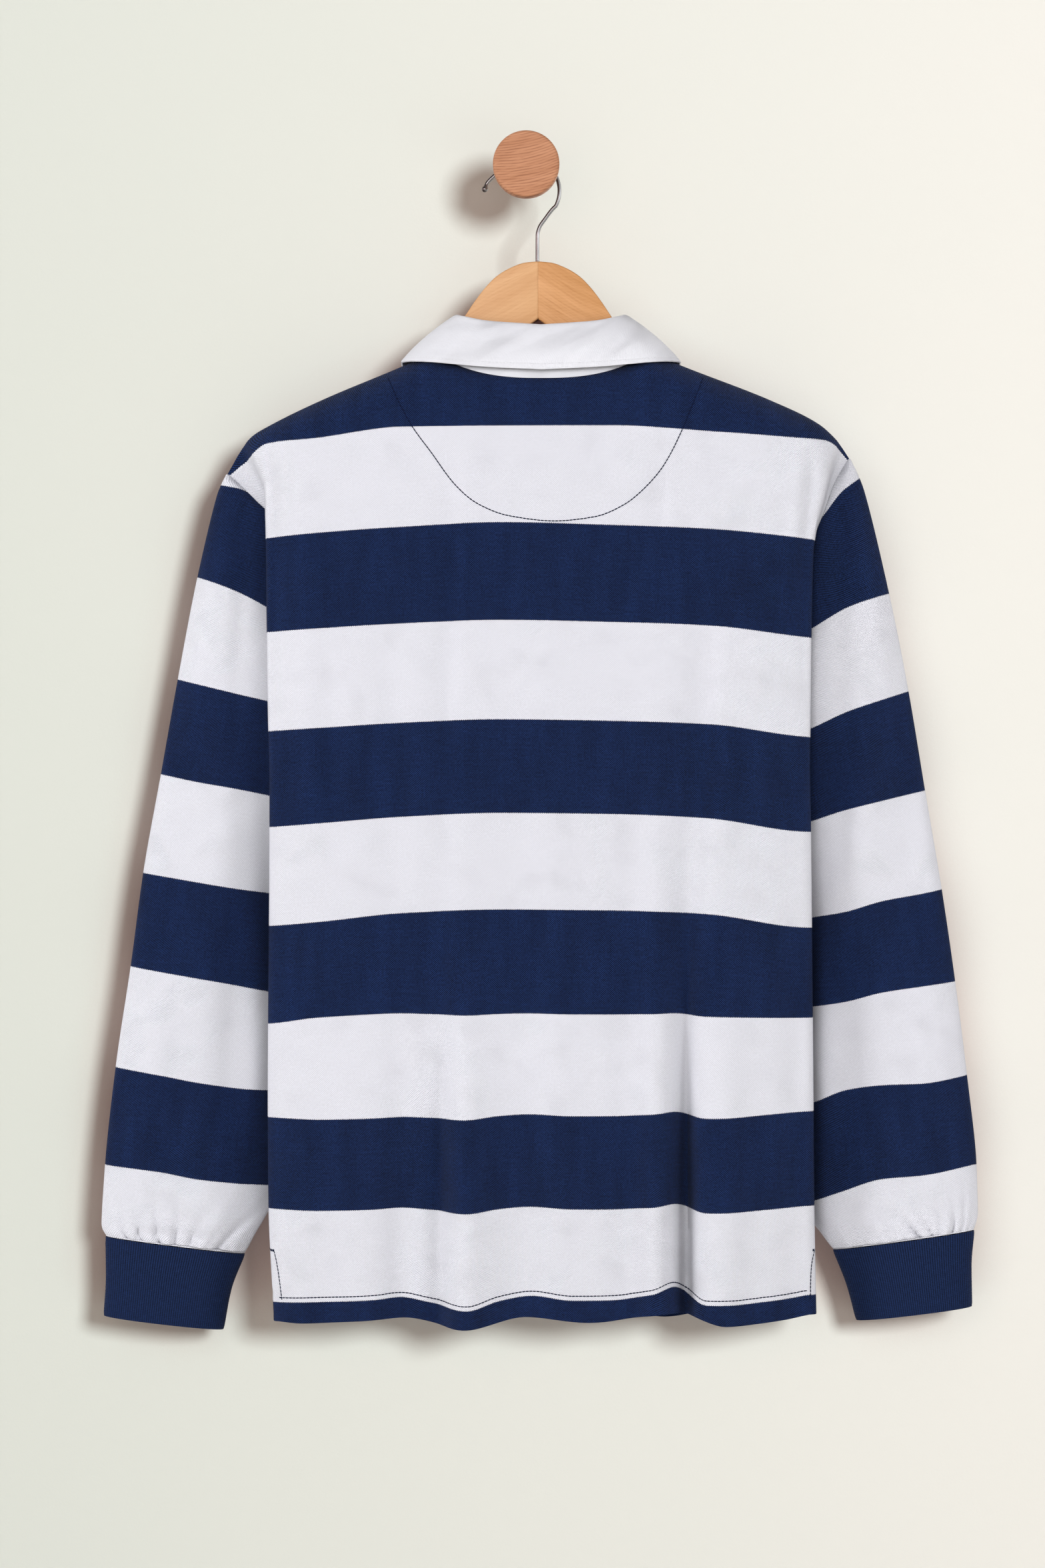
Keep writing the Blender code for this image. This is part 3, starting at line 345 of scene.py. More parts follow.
def tube_faces(rows: int, count: int, first: int, last: int) -> Array:
    """Triangles of a closed tube of `rows` rings of `count` points, its ends fanned to two poles."""
    number = np.arange(rows * count).reshape(rows, count)
    after = np.roll(number, -1, axis=1)
    quads = np.stack([number[:-1], after[:-1], after[1:], number[1:]], axis=-1).reshape(-1, 4)
    start = np.stack([number[0], np.full(count, first), after[0]], axis=1)
    end = np.stack([after[-1], np.full(count, last), number[-1]], axis=1)
    return np.concatenate([quads[:, (0, 1, 2)], quads[:, (0, 2, 3)], start, end])


def faces_inwards(corners: Array) -> bool:
    """Whether triangles (n by 3 corners by 3) round a closed body turn their outside in."""
    return np.einsum("ij,ij->i", corners[:, 0], np.cross(corners[:, 1], corners[:, 2])).sum() < 0


def rings_object(name: str, rings: Array, sharp: float = 50.0) -> bpy.types.Object:
    """Closed solid through rings of points (rings by count by 3), its ends closed by flat fans."""
    rows, count = rings.shape[:2]
    points = np.vstack([rings.reshape(-1, 3), rings[0].mean(axis=0), rings[-1].mean(axis=0)])
    faces = tube_faces(rows, count, rows * count, rows * count + 1)
    if faces_inwards(points[faces]):
        faces = faces[:, ::-1]
    return make_object(name, points, faces, None, sharp)


# ------------------------------------------------------------------------------ the garment's form
@dataclass(frozen=True)
class Form:
    """Driving sizes of the hanging shirt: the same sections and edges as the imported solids."""

    cloth: float = 1.6
    collar_cloth: float = 2.2
    cuff_cloth: float = 2.4
    rib_height: float = 0.8
    ribs_round_cuff: int = 126
    hem_extra: float = 1.2
    hem_level: float = -866.0
    hem_depth: float = 23.0
    centre_x: float = 11.0
    centre_y: float = -67.0
    half_depth: float = 21.0
    squareness: float = 4.0
    top_round: float = 20.0
    neck_settle: float = 260.0
    neck_share: float = 0.41
    wave_from: float = 0.45
    wave_growth: float = 2.4
    vent_from: float = -816.0
    vent_opening: float = 1.6
    underarm: float = -470.0
    side_top: float = -230.5
    sleeve_squareness: float = 2.3
    tube_formed: float = 0.22
    crowding: float = 1.35  # how much closer rows stand where a shape turns quickly
    side_from: tuple[float, float] = (0.97, 0.90)  # share across where the side seams draw, back and front
    shoulder_from: float = 0.09  # share past the neck over which the shoulder line takes hold
    fold_clear: float = 0.05  # share from the fold edge over which hanging folds die out
    cuff_y: tuple[float, float] = (-46.0, -38.0)
    # share of the shoulder seam from the neck point outwards in twelfths, back and front
    back_columns: tuple[float, ...] = (
        0.41, 0.46, 0.5, 0.54, 0.585, 0.65, 0.72, 0.8, 0.875, 0.94, 0.98, 1, 1.025)
    front_columns: tuple[float, ...] = (
        0.41, 0.47, 0.53, 0.585, 0.64, 0.7, 0.76, 0.82, 0.875, 0.92, 0.95, 0.965, 0.975)
    # share from the neck point, x, z
    shoulder: tuple[Table, Table] = (
        ((0, -72, -140.5), (0.13, -92, -149.5), (0.52, -154.5, -175.5), (0.78, -195, -195),
         (0.87, -207.5, -202.5), (0.94, -216.5, -213), (1, -227, -230.5)),
        ((0, 95, -140.5), (0.13, 117, -149.5), (0.52, 184.5, -175.5), (0.78, 221, -193),
         (0.88, 233.5, -203.5), (0.94, 240, -211), (1, 245.5, -218.5)))
    ridge_y: Table = ((0, -62), (0.5, -59.5), (0.8, -56.5), (1, -51))
    # level, reach of the left and the right fold edge from the centre line
    fold_edges: Table = (
        (-218, 205, 203.5), (-350, 204.5, 202), (-500, 204.5, 203.8), (-700, 205.8, 205.7),
        (-780, 205.3, 206.3), (-866, 201.3, 207.8))
    # level, how far the panel still follows the shoulder line
    shoulder_pull: tuple[Table, Table] = (
        ((-230.5, 1), (-240, 0.75), (-252, 0.36), (-262, 0.08), (-280, 0)),
        ((-218.5, 1), (-239, 0.66), (-259, 0.42), (-279, 0.17), (-300, 0.07), (-345, 0)))
    # level, x, y on the back panel, y on the front panel
    armhole: tuple[Table, Table] = (
        ((-230.5, -227, -51, -51), (-240, -216.5, -54.5, -47), (-252, -204, -57.5, -44.5),
         (-262, -195, -60, -43), (-300, -192.8, -61, -42), (-350, -192, -61, -42),
         (-420, -190.5, -59.5, -46), (-470, -188.4, -55.3, -55.3)),
        ((-218.5, 245.5, -51, -51), (-239, 233.5, -55.5, -46), (-259, 226, -58.5, -44),
         (-279, 218, -60.5, -43), (-300, 213.5, -61, -42), (-350, 211.8, -61, -42), (-420, 210, -59.5, -46),
         (-463, 208.8, -55.3, -55.3)))
    # x at the hem, half-width, depth at the hem, level where the fold begins
    back_folds: Table = (
        (-150, 15, 2.5, -560), (-94, 14, 6.5, -480), (-50, 22, -4, -420), (20, 24, 2.5, -600),
        (96, 17, -4.5, -470), (121, 9, 8, -450), (146, 17, -4, -480))
    front_folds: Table = (
        (-120, 18, 5, -500), (-70, 20, -3, -520), (60, 16, 5.5, -470), (105, 20, -3.5, -500),
        (150, 14, 4, -560))
    # x, height above the hem's level
    back_hem: Table = (
        (-185, -4), (-169, -5), (-124, -3), (-91, -1), (-47, -9), (0, 0), (47, -4), (108, 2.5), (122, 1),
        (150, -6.5), (194, -2.5), (213, 1))
    front_hem: Table = (
        (-185, -4), (-152, -2), (-122, 2), (-75, -6), (-20, 0), (30, -3), (62, 3), (105, -5), (150, 2),
        (190, -1), (213, 1))
    # outer x, outer z, inner x, inner z, outer y, inner y, half thickness
    sleeve: tuple[Table, Table] = (
        ((-227, -230.5, -199, -236, -51, -53, 4), (-233, -243, -194, -258, -50, -52, 6),
         (-249.5, -309, -189, -336, -46, -50, 8), (-264.5, -386, -187, -407, -44, -50, 7.5),
         (-277.5, -459, -188, -477, -44, -47, 9), (-290.5, -532, -180, -553, -45, -33, 14),
         (-300, -603, -171, -626, -46, -27, 17), (-311.5, -680, -174, -701, -46, -27, 17),
         (-319.5, -753, -188, -770, -46, -33, 16), (-322.3, -799, -209, -811, -46, -37, 15),
         (-319, -809, -215.2, -823, -46, -38, 14)),
        ((245.5, -218.5, 220, -222, -51, -53, 4), (254.5, -238, 214, -258, -50, -52, 6),
         (275.5, -321, 209, -349, -46, -50, 8), (290.5, -395.5, 208, -423, -44, -50, 7.5),
         (303, -470.5, 208, -494, -44, -46, 9), (315.5, -545, 200, -571, -45, -33, 14),
         (325.5, -614, 192, -638, -46, -27, 17), (334.5, -685, 195, -710, -46, -27, 17),
         (341.8, -752, 207, -780, -46, -33, 16), (343, -790, 226, -808, -46, -37, 15),
         (340.1, -804.3, 234.8, -819.9, -46, -38, 14)))
    # share of the round, width in shares, depth, first and last station
    sleeve_creases: tuple[Table, Table] = (
        ((0.28, 0.07, 2.5, 0.3, 0.95), (0.14, 0.06, -2, 0.2, 0.9), (0.78, 0.09, 3, 0.25, 0.95)),
        ((0.3, 0.07, 2.5, 0.35, 0.98), (0.19, 0.06, -2.5, 0.15, 0.8), (0.8, 0.09, 3, 0.25, 0.95)))
    # outer x, outer z, inner x, inner z, half thickness
    cuff: tuple[Table, Table] = (
        ((-319, -809.4, -215.3, -823.4, 14), (-318.6, -840, -226, -851, 15),
         (-320.4, -869.6, -231.7, -881, 15.5)),
        ((340.1, -804.7, 234.9, -820.3, 14), (337.8, -832, 245.5, -847, 15),
         (338.3, -862.5, 252.8, -874, 15.5)))
    collar_centre_x: float = 11.2
    # angle round the neck, reach from the centre, y, z
    fold_line: Table = (
        (0, 0.6, -48.5, -204), (30, 32, -48.5, -189), (60, 52, -49, -147), (75, 59.5, -50, -122),
        (83, 61.5, -52, -115.5), (89, 62, -55.5, -112.8), (95, 62.3, -61, -111.8),
        (101, 61.8, -66.5, -112.2), (107, 60.5, -71, -113), (120, 55, -76, -114.6), (140, 42, -80, -117.5),
        (180, 0, -82, -120.8))
    fall_edge: Table = (
        (0, 60, -42.8, -262), (25, 77, -42.8, -236), (50, 93, -42.8, -203), (75, 103, -42.9, -170),
        (83, 104.5, -46, -156), (89, 105.3, -54, -148.8), (97, 105.5, -63.5, -146.9),
        (110, 100, -75, -147.2), (123, 90, -84, -148.2), (135, 78, -88.5, -149.5), (158, 42, -92, -153),
        (180, 0, -92.3, -155))
    collar_end: float = 0.6
    stand_below_fold: float = 2.8
    fall_bulge: float = 2.0
    # share from centre front to the neck point, reach from the centre, y, z
    front_neck: Table = (
        (0, 9, -46, -228), (0.25, 33, -46.2, -218), (0.5, 57, -47, -192), (0.72, 75, -49.5, -162),
        (0.88, 83, -53.5, -145), (1, 84, -62, -140.5))
    back_neck_depth: float = 22.0
    back_neck_level: float = -161.0
    placket_width: float = 30.0
    placket_length: float = 150.0
    placket_slot: float = 18.0
    placket_cloth: float = 2.0

    def drops(self, upper: int, lower: int) -> tuple[Array, int]:
        """Row shares of the drop from the shoulder point to the hem.

        Args:
            upper: rows of armhole, closer together near the shoulder point.
            lower: rows of side seam.

        Returns:
            The shares, and the row of the underarm.
        """
        under = (self.side_top - self.underarm) / (self.side_top - self.hem_level)
        first = under * np.linspace(0, 1, upper + 1) ** self.crowding
        return np.concatenate([first, np.linspace(under, 1, lower + 1)[1:]]), upper

    def shoulder_line(self, side: int, share: Array | float) -> Array:
        """Points of a shoulder seam, from the neck point (0) to the shoulder point (1)."""
        x, z = (smooth(self.shoulder[side], column, share) for column in (1, 2))
        return np.stack([x, smooth(self.ridge_y, 1, share), z], axis=-1)

    def back_neck_line(self, across: Array) -> Array:
        """Back neckline; `across` runs -1 to 1 between the neck points, and it bows down and outwards."""
        left, right = self.shoulder_line(0, 0.0), self.shoulder_line(1, 0.0)
        middle, half = (left[0] + right[0]) / 2, (right[0] - left[0]) / 2
        bow = 1 - np.abs(across) ** 2.6
        return np.stack([middle + half * across, left[1] - self.back_neck_depth * bow ** 0.4,
                         left[2] + (self.back_neck_level - left[2]) * bow], axis=-1)

    def front_neck_line(self, side: int, share: Array) -> Array:
        """Half of the front neckline, from the placket's slot (0) to the neck point (1)."""
        sign = 2 * side - 1
        neck = self.shoulder_line(side, 0.0)
        shift = neck[0] - self.centre_x - sign * self.front_neck[-1][1]
        x = self.centre_x + sign * smooth(self.front_neck, 1, share) + shift * ease(share)
        return np.stack([x, smooth(self.front_neck, 2, share), smooth(self.front_neck, 3, share)], axis=-1)

    def plan(self, across: Array, level: Array, face: float) -> tuple[Array, Array]:
        """Plan of the body: |x / reach|^p + |y / depth|^p = 1, turning to the other face past 1."""
        share = np.abs(across)
        inside = np.where(share <= 1, share, 2 - share)
        facing = np.where(share <= 1, face, -face)
        reach = np.where(across < 0, smooth(self.fold_edges, 1, level), smooth(self.fold_edges, 2, level))
        bulge = (1 - inside ** self.squareness) ** (1 / self.squareness)
        return (self.centre_x + np.sign(across) * reach * inside,
                self.centre_y + facing * self.half_depth * bulge)

    def fold_depth(self, folds: Table, x: Array, z: Array) -> Array:
        """Sum of the hanging folds: bells across, growing smoothly from their start to the hem."""
        depth = np.zeros_like(x)
        for middle, half_width, deep, begins in folds:
            grown = ease((begins - z) / (begins - self.hem_level))
            depth += deep * grown * bell(x - middle, half_width)
        return depth

    def panel(self, face: float, across: Array, top: Array, drop: Array, under: int) -> tuple[Array, Array]:
        """Middle surface of a body panel.

        Each column hangs from the neckline or shoulder seam to the hem, leaving the top edge's plan
        for the body's plan; the ends of the upper rows are drawn to the armhole seam.

        Args:
            face: -1 for the back, 1 for the front.
            across: signed shares from the centre to the fold edge, one for each column.
            top: points of the top edge, one for each column.
            drop: row shares of the drop.
            under: row of the underarm.

        Returns:
            The points, and how strongly each point is drawn to the side seams (0 to 1).
        """
        drop = drop[:, None]
        hem, folds = (self.back_hem, self.back_folds) if face < 0 else (self.front_hem, self.front_folds)
        wave = smooth(hem, 1, self.plan(across, self.hem_level, face)[0])
        grown = np.clip((drop - self.wave_from) / (1 - self.wave_from), 0, 1) ** self.wave_growth
        z = top[None, :, 2] + (self.hem_level - top[:, 2])[None, :] * drop + wave * grown
        left = np.broadcast_to(across < 0, z.shape)
        side_level = np.where(left, z[:, :1], z[:, -1:])
        w = np.broadcast_to(across, z.shape)
        ring_x, ring_y = self.plan(w, z, face)
        pull = np.where(left, *(smooth(table, 1, side_level) for table in self.shoulder_pull))
        fall = top[None, :, 2] - z
        settled = 1 - ease(fall / self.neck_settle)
        on_shoulder = ease((np.abs(w) - self.neck_share) / self.shoulder_from)
        x = ring_x + (top[None, :, 0] - ring_x) * (settled + (pull - settled) * on_shoulder)
        rounding = np.sqrt(1 - (1 - np.clip(fall / self.top_round, 0, 1)) ** 2)
        y = top[None, :, 1] + (ring_y - top[None, :, 1]) * rounding
        end_from, end_at = self.side_from[int(face > 0)], np.abs(across).max()
        near = ease((np.abs(w) - end_from) / (end_at - end_from))
        for side, column in ((0, 0), (1, -1)):
            level = z[:under + 1, column]
            pulled = near[:under] * (left[0] if side == 0 else ~left[0])
            for axis, values, which in ((0, x, 1), (1, y, 3 if face > 0 else 2)):
                seam = smooth(self.armhole[side], which, level)
                seam[0] = top[column, axis]
                values[:under] += (seam[:under] - values[:under, column])[:, None] * pulled
        y -= face * self.fold_depth(folds, x, z) * ease((1.0 - np.abs(w)) / self.fold_clear)
        y += face * self.vent_opening * ease((self.vent_from - z) / (self.vent_from - self.hem_level)) * near
        return np.stack([x, y, z], axis=-1), near


class Side(Enum):
    """Left or right, as seen from in front of the wall."""

    LEFT = 0
    RIGHT = 1

    @property
    def word(self) -> str:
        """The side's name in node names."""
        return self.name.lower()

    @property
    def sign(self) -> int:
        """-1 on the left, 1 on the right."""
        return 2 * self.value - 1


class Face(Enum):
    """Body panels: the back hangs away from the wall, the front towards it."""

    BACK = -1
    FRONT = 1


@dataclass(frozen=True)
class Hoops:
    """Lines where one hoop's colour turns to the next.

    Attributes:
        lines: rows of x, then the level of each line from the top down.
        above: level lines over the first one.
        pitch: depth of the hoop below the last line.
        waves: x, rise of the lowest line; `shares` says how much of it each line takes.
    """

    lines: Table
    above: tuple[float, ...] = (-120.0,)
    pitch: float = 72.2
    waves: Table = ((0.0, 0.0), (1.0, 0.0))
    shares: tuple[float, ...] = ()

    def coordinate(self, x: Array, z: Array) -> Array:
        """Hoop number: a whole number on each line, rising downwards; even hoops are navy."""
        levels = [np.full(x.shape, level) for level in self.above]
        wave = smooth(self.waves, 1, x)
        for k in range(1, len(self.lines[0])):
            share = self.shares[k - 1] if self.shares else 0.0
            levels.append(smooth(self.lines, k, x) + share * wave)
        levels.append(levels[-1] - self.pitch)
        return sum(np.clip((a - z) / (a - b), 0, 1) for a, b in zip(levels, levels[1:]))


BODY_LINES: Table = (
    (-226, -232.5, -284, -353, -427, -499.5, -574, -647, -716, -784, -853),
    (-208, -218.5, -282.5, -352.2, -426.4, -499, -573.3, -646.5, -715.6, -784, -853),
    (-195, -209.5, -280.5, -351.3, -425.8, -498.2, -572.5, -645.8, -715.5, -784, -853),
    (-155, -205.5, -276.7, -348.6, -423.3, -495, -569, -640.6, -717, -785.5, -852.8),
    (-95, -197.5, -272.6, -345.1, -419.6, -490.3, -562.5, -637.9, -716, -784.5, -852),
    (-20, -196.7, -269, -342.4, -416.9, -487.2, -559.5, -638, -714.2, -784, -852),
    (65, -196.4, -271.1, -344, -418.1, -488.1, -560.3, -638.5, -714.5, -784.5, -852),
    (135, -200.5, -273.8, -346.4, -420.4, -491.2, -563, -639.5, -715, -785.5, -852),
    (205, -205.5, -280.2, -354.5, -429.5, -501.2, -573.2, -641.6, -712.5, -784, -852),
    (225, -206.9, -283, -356.5, -431, -502, -574, -642, -712.5, -784, -852),
    (238, -213.7, -286, -358, -432, -502.5, -574.5, -642.5, -712.5, -784, -852),
    (244, -220, -288, -359, -433, -503, -575, -643, -712.5, -784, -852))
LINE_SHARES = (0.0, 0.0, 0.0, 0.0, 0.0, 0.0, 0.15, 0.35, 0.45, 1.0)
BACK_WAVES: Table = (
    (-190, -2.3), (-155, -1.8), (-115, -0.7), (-95, 0.8), (-70, -3.9), (-45, -8.4), (-20, -1.3), (5, 2.3),
    (35, -1.1), (65, -0.8), (95, 4.1), (110, 9), (122, 3), (135, -4.5), (155, -4.2), (180, -2.1), (200, 0.2),
    (211, 2.1))
FRONT_WAVES: Table = (
    (-185, -2.5), (-152, -0.5), (-122, 3.5), (-75, -4.5), (-20, 1.5), (30, -1.5), (62, 4.5), (105, -3.5),
    (150, 3.5), (190, 0.5), (213, 2))
SLEEVE_LINES: tuple[Table, Table] = (
    ((-325.7, -237.1, -286.9, -372.3, -449.3, -527.1, -599.3, -678.2, -754),
     (-279.6, -236.6, -300.1, -382.5, -457.8, -535, -607.8, -686.2, -759.6),
     (-249, -237, -308.7, -390, -464.2, -540.2, -613.3, -692.4, -765.7),
     (-218.5, -241.8, -320.1, -397.4, -469.5, -545.3, -619, -696.9, -769.1),
     (-193.1, -258.4, -333.7, -403.4, -474.7, -549, -624.3, -699, -771.3),
     (-166.3, -283.5, -351.1, -411.6, -480.1, -553.7, -630.4, -704, -777.6)),
    ((191.6, -288.5, -362.1, -433.7, -501.3, -571.9, -638.4, -717.1, -790.7),
     (219.8, -268.6, -345.7, -421.6, -492.7, -566.9, -634.7, -707.4, -782.5),
     (242.2, -241.5, -332.5, -411.2, -485.3, -562.6, -631.2, -698.2, -774.3),
     (269.7, -225.8, -322.8, -401.7, -478.4, -554.5, -623.9, -694.1, -765.4),
     (300.3, -224, -315.4, -392.2, -471.2, -548.9, -619.2, -692.7, -762.4),
     (338.9, -222, -307.3, -382.5, -462, -540.3, -613.6, -685.8, -754.6)))

# start x, start z, end x, end z, width, depth: troughs are positive, ridges negative
BACK_CREASES: Table = (
    (-193, -205, -191, -262, 3.5, 1.6), (-183, -200, -182, -270, 5, -1.2), (216, -214, 212, -292, 3.5, 1.8),
    (205, -205, 201, -300, 5, -1.4), (-168, -230, -160, -560, 14, -1.4), (-150, -280, -146, -560, 12, 1.6),
    (-104, -290, -98, -640, 18, 2.2, 0.7), (-55, -190, -60, -560, 12, 2.4, 0.5),
    (-62, -400, -63, -868, 32, 4, 0.3), (-66, -500, -66, -868, 16, 5.5, 0.45),
    (-42, -480, -44, -868, 11, -1.8), (-6, -240, -6, -868, 17, 2.2, 0.8), (24, -300, 25, -868, 15, -1.8),
    (78, -260, 80, -868, 17, 3, 0.7), (98, -300, 98, -868, 12, -2), (103, -188, 100, -300, 14, 1.8, 0.35),
    (142, -290, 123, -640, 17, 4, 0.4), (120, -470, 122, -868, 16, 6.3, 0.28),
    (150, -380, 152, -868, 16, -1.6), (200, -300, 202, -868, 12, 2), (-186, -520, -60, -470, 12, 0.9),
    (205, -475, 130, -430, 9, 1.2), (-200, -480, -120, -420, 9, 1.3), (-95, -168, -140, -250, 10, 1.1),
    (118, -168, 170, -255, 10, 1.1))
FRONT_CREASES: Table = (
    (-160, -230, -155, -600, 15, 1), (-100, -260, -96, -640, 16, -1), (-40, -390, -44, -700, 14, 0.9),
    (60, -380, 66, -660, 15, -0.9), (110, -240, 118, -600, 14, 1.1), (165, -260, 160, -640, 14, -0.8),
    (-130, -600, -128, -866, 8, 1.3), (-50, -640, -52, -866, 10, -0.9), (20, -660, 22, -866, 10, 0.9),
    (85, -600, 84, -866, 7, 1.4), (140, -640, 142, -866, 9, -0.9), (195, -475, 110, -430, 9, 0.6),
    (-185, -480, -110, -430, 9, 0.6), (11, -378, -30, -470, 9, 0.8), (11, -378, 45, -480, 9, -0.6))
SLEEVE_FOLDS: tuple[Table, Table] = (
    ((-232, -250, -262, -470, 9, -0.9), (-212, -262, -226, -470, 8, 1), (-250, -330, -285, -640, 12, 1),
     (-225, -420, -262, -700, 13, -1), (-205, -480, -235, -760, 11, 1.1), (-300, -560, -312, -770, 9, 0.9),
     (-272, -600, -290, -790, 8, -0.9), (-196, -640, -226, -800, 8, -0.8), (-192, -470, -260, -500, 9, 1.2),
     (-188, -560, -250, -590, 12, 0.8), (-200, -700, -262, -735, 10, 0.7),
     (-190, -265, -188, -735, 13, 4.6)),
    ((250, -240, 282, -460, 9, -0.9), (234, -255, 248, -470, 8, 1), (270, -330, 306, -640, 12, 1),
     (245, -420, 284, -700, 13, -1), (222, -490, 256, -770, 11, 1.1), (318, -560, 332, -760, 9, 0.9),
     (292, -600, 312, -790, 8, -0.9), (214, -640, 246, -800, 8, -0.8), (211, -480, 282, -505, 9, 1.2),
     (206, -570, 270, -600, 12, 0.8), (222, -710, 285, -740, 10, 0.7), (216, -285, 216, -700, 12, 3)))
# place along the cuff seam (0 inner fold, 1 outer fold), width in shares, height, length, lean outwards
CUFF_GATHERS: tuple[Table, Table] = (
    ((0.08, 0.03, 1.2, 22, -0.02), (0.2, 0.03, -2.6, 46, -0.2), (0.31, 0.022, 1.5, 22, -0.05),
     (0.405, 0.018, -1.9, 30, -0.06), (0.49, 0.02, -2, 34, 0.04), (0.55, 0.024, 1.4, 24, 0),
     (0.61, 0.016, -2.1, 26, 0.05), (0.67, 0.022, 1.3, 20, 0.02), (0.73, 0.014, -1.8, 22, 0.05),
     (0.77, 0.014, -1.6, 16, -0.04), (0.84, 0.02, -1.9, 28, 0.06), (0.92, 0.022, 1.1, 18, 0)),
    ((0.1, 0.03, 1, 24, 0.02), (0.22, 0.026, -1, 20, 0.05), (0.38, 0.03, 1.1, 26, -0.05),
     (0.5, 0.02, -1.3, 24, -0.1), (0.61, 0.022, -2.5, 36, -0.18), (0.7, 0.016, -1.9, 22, -0.08),
     (0.745, 0.014, -1.6, 18, 0), (0.79, 0.02, 1.3, 22, 0.02), (0.84, 0.014, -1.9, 24, 0),
     (0.9, 0.014, -1.7, 34, 0.02), (0.945, 0.012, -1.5, 26, 0.03)))


# ------------------------------------------------------------------------------ pieces of cloth
@dataclass
class Panel:
    """One body panel of the shirt: a fine shell with its hoops, folds, creases and double hem."""

    form: Form
    face: Face
    hoops: Hoops
    folds: tuple[Crease, ...]
    upper_rows: int = 76
    lower_rows: int = 100
    shoulder_steps: int = 48
    back_neck_steps: int = 64
    front_neck_steps: int = 30
    crease_fade: tuple[float, float] = (14.0, 0.06)  # from the top edge in mm, from the fold edge in shares
    pucker: tuple[float, float] = (0.16, 7.3)  # height and pitch of the ripple that the hem's sewing draws
    groove: tuple[float, float, float] = (0.30, 2.5, 2.2)  # depth, place below the hem's top, width
    points: Array = field(init=False)
    under: int = field(init=False)

    def top_edge(self) -> tuple[Array, Array]:
        """Signed share of each column and the point of the top edge it hangs from."""
        form = self.form
        columns = form.back_columns if self.face is Face.BACK else form.front_columns
        last = len(columns) - 1
        steps = np.linspace(0, last, self.shoulder_steps + 1)[1:]
        outer = smooth(tuple(enumerate(columns)), 1, steps)
        left, right = (form.shoulder_line(side, steps / last) for side in (0, 1))
        if self.face is Face.BACK:
            neck = np.sin(np.linspace(-1, 1, self.back_neck_steps + 1) * math.pi / 2)
            return (np.concatenate([-outer[::-1], neck * form.neck_share, outer]),
                    np.vstack([left[::-1], form.back_neck_line(neck), right]))
        share = 1 - (1 - np.linspace(0, 1, self.front_neck_steps + 1)) ** 1.25
        slot = form.placket_slot / 2 / form.fold_edges[0][1]
        inner = slot + (form.neck_share - slot) * share
        neck_left, neck_right = (form.front_neck_line(side, share) for side in (0, 1))
        return (np.concatenate([-outer[::-1], -inner[::-1], inner, outer]),
                np.vstack([left[::-1], neck_left[::-1], neck_right, right]))

    def build(self) -> bpy.types.Object:
        """Shape the panel and make its mesh.

        The hem is a second layer on the inside below a groove: its outer skin sinks by a bell round
        the sewing line and puckers along it by sin(2 pi u / pitch + 1.7 sin(u / 23)).
        """
        form, face = self.form, float(self.face.value)
        drops, self.under = form.drops(self.upper_rows, self.lower_rows)
        across, top = self.top_edge()
        points, near = form.panel(face, across, top, drops, self.under)
        x, z = points[..., 0].copy(), points[..., 2].copy()
        below_top, beside = self.crease_fade
        edge = ease((top[None, :, 2] - z) / below_top) * (1 - near)
        edge = edge * ease((1.0 - np.abs(across)) / beside)[None]
        depth = sum(fold.sink(x, z) for fold in self.folds) + self._slack(x, z)
        points[..., 1] -= face * depth * edge
        self.points = points
        u = run_lengths(points, 1, (0, 1))
        u = u - u[:, u.shape[1] // 2][:, None]
        hem = np.cumsum(np.linalg.norm(np.diff(points[::-1], axis=0), axis=-1), axis=0)[::-1]
        hem = np.vstack([hem, np.zeros((1, hem.shape[1]))])
        (height, pitch), (deep, below, width) = self.pucker, self.groove
        ripple = height * np.sin(u * 1000 * 2 * math.pi / pitch + 1.7 * np.sin(u * 1000 / 23))
        relief = (ripple - deep) * bell(hem - form.hem_depth + below, width)
        relief += 0.12 * ripple * bell(hem, 9.0)
        relief -= 0.45 * near * (near > 0.5)
        cells = np.ones((len(drops) - 1, len(across) - 1), bool)
        if self.face is Face.FRONT:
            slot = len(across) // 2 - 1
            cells[z[:-1, slot] > top[slot, 2] - form.placket_length + 10, slot] = False
        return Shell(f"{self.face.name.lower()}_panel_cloth", points, int(face), form.cloth,
                     {"hoops": np.stack([u, self.hoops.coordinate(x, z)], axis=-1)}, relief, cells=cells,
                     inward=form.hem_extra * ease((form.hem_depth + 0.8 - hem) / 1.6)).build()

    @staticmethod
    def _slack(x: Array, z: Array) -> Array:
        """Gentle unevenness of hanging jersey: three slow waves that cross at odd angles."""
        return (0.35 * np.sin(x / 19.0 + z / 160.0 + 0.6) + 0.25 * np.sin(x / 11.5 - z / 210.0 + 2.1)
                + 0.20 * np.sin(z / 34.0 + x / 90.0))

    def seam(self, side: Side) -> Array:
        """Armhole seam points from the shoulder point down to the underarm."""
        return self.points[:self.under + 1, 0 if side is Side.LEFT else -1]


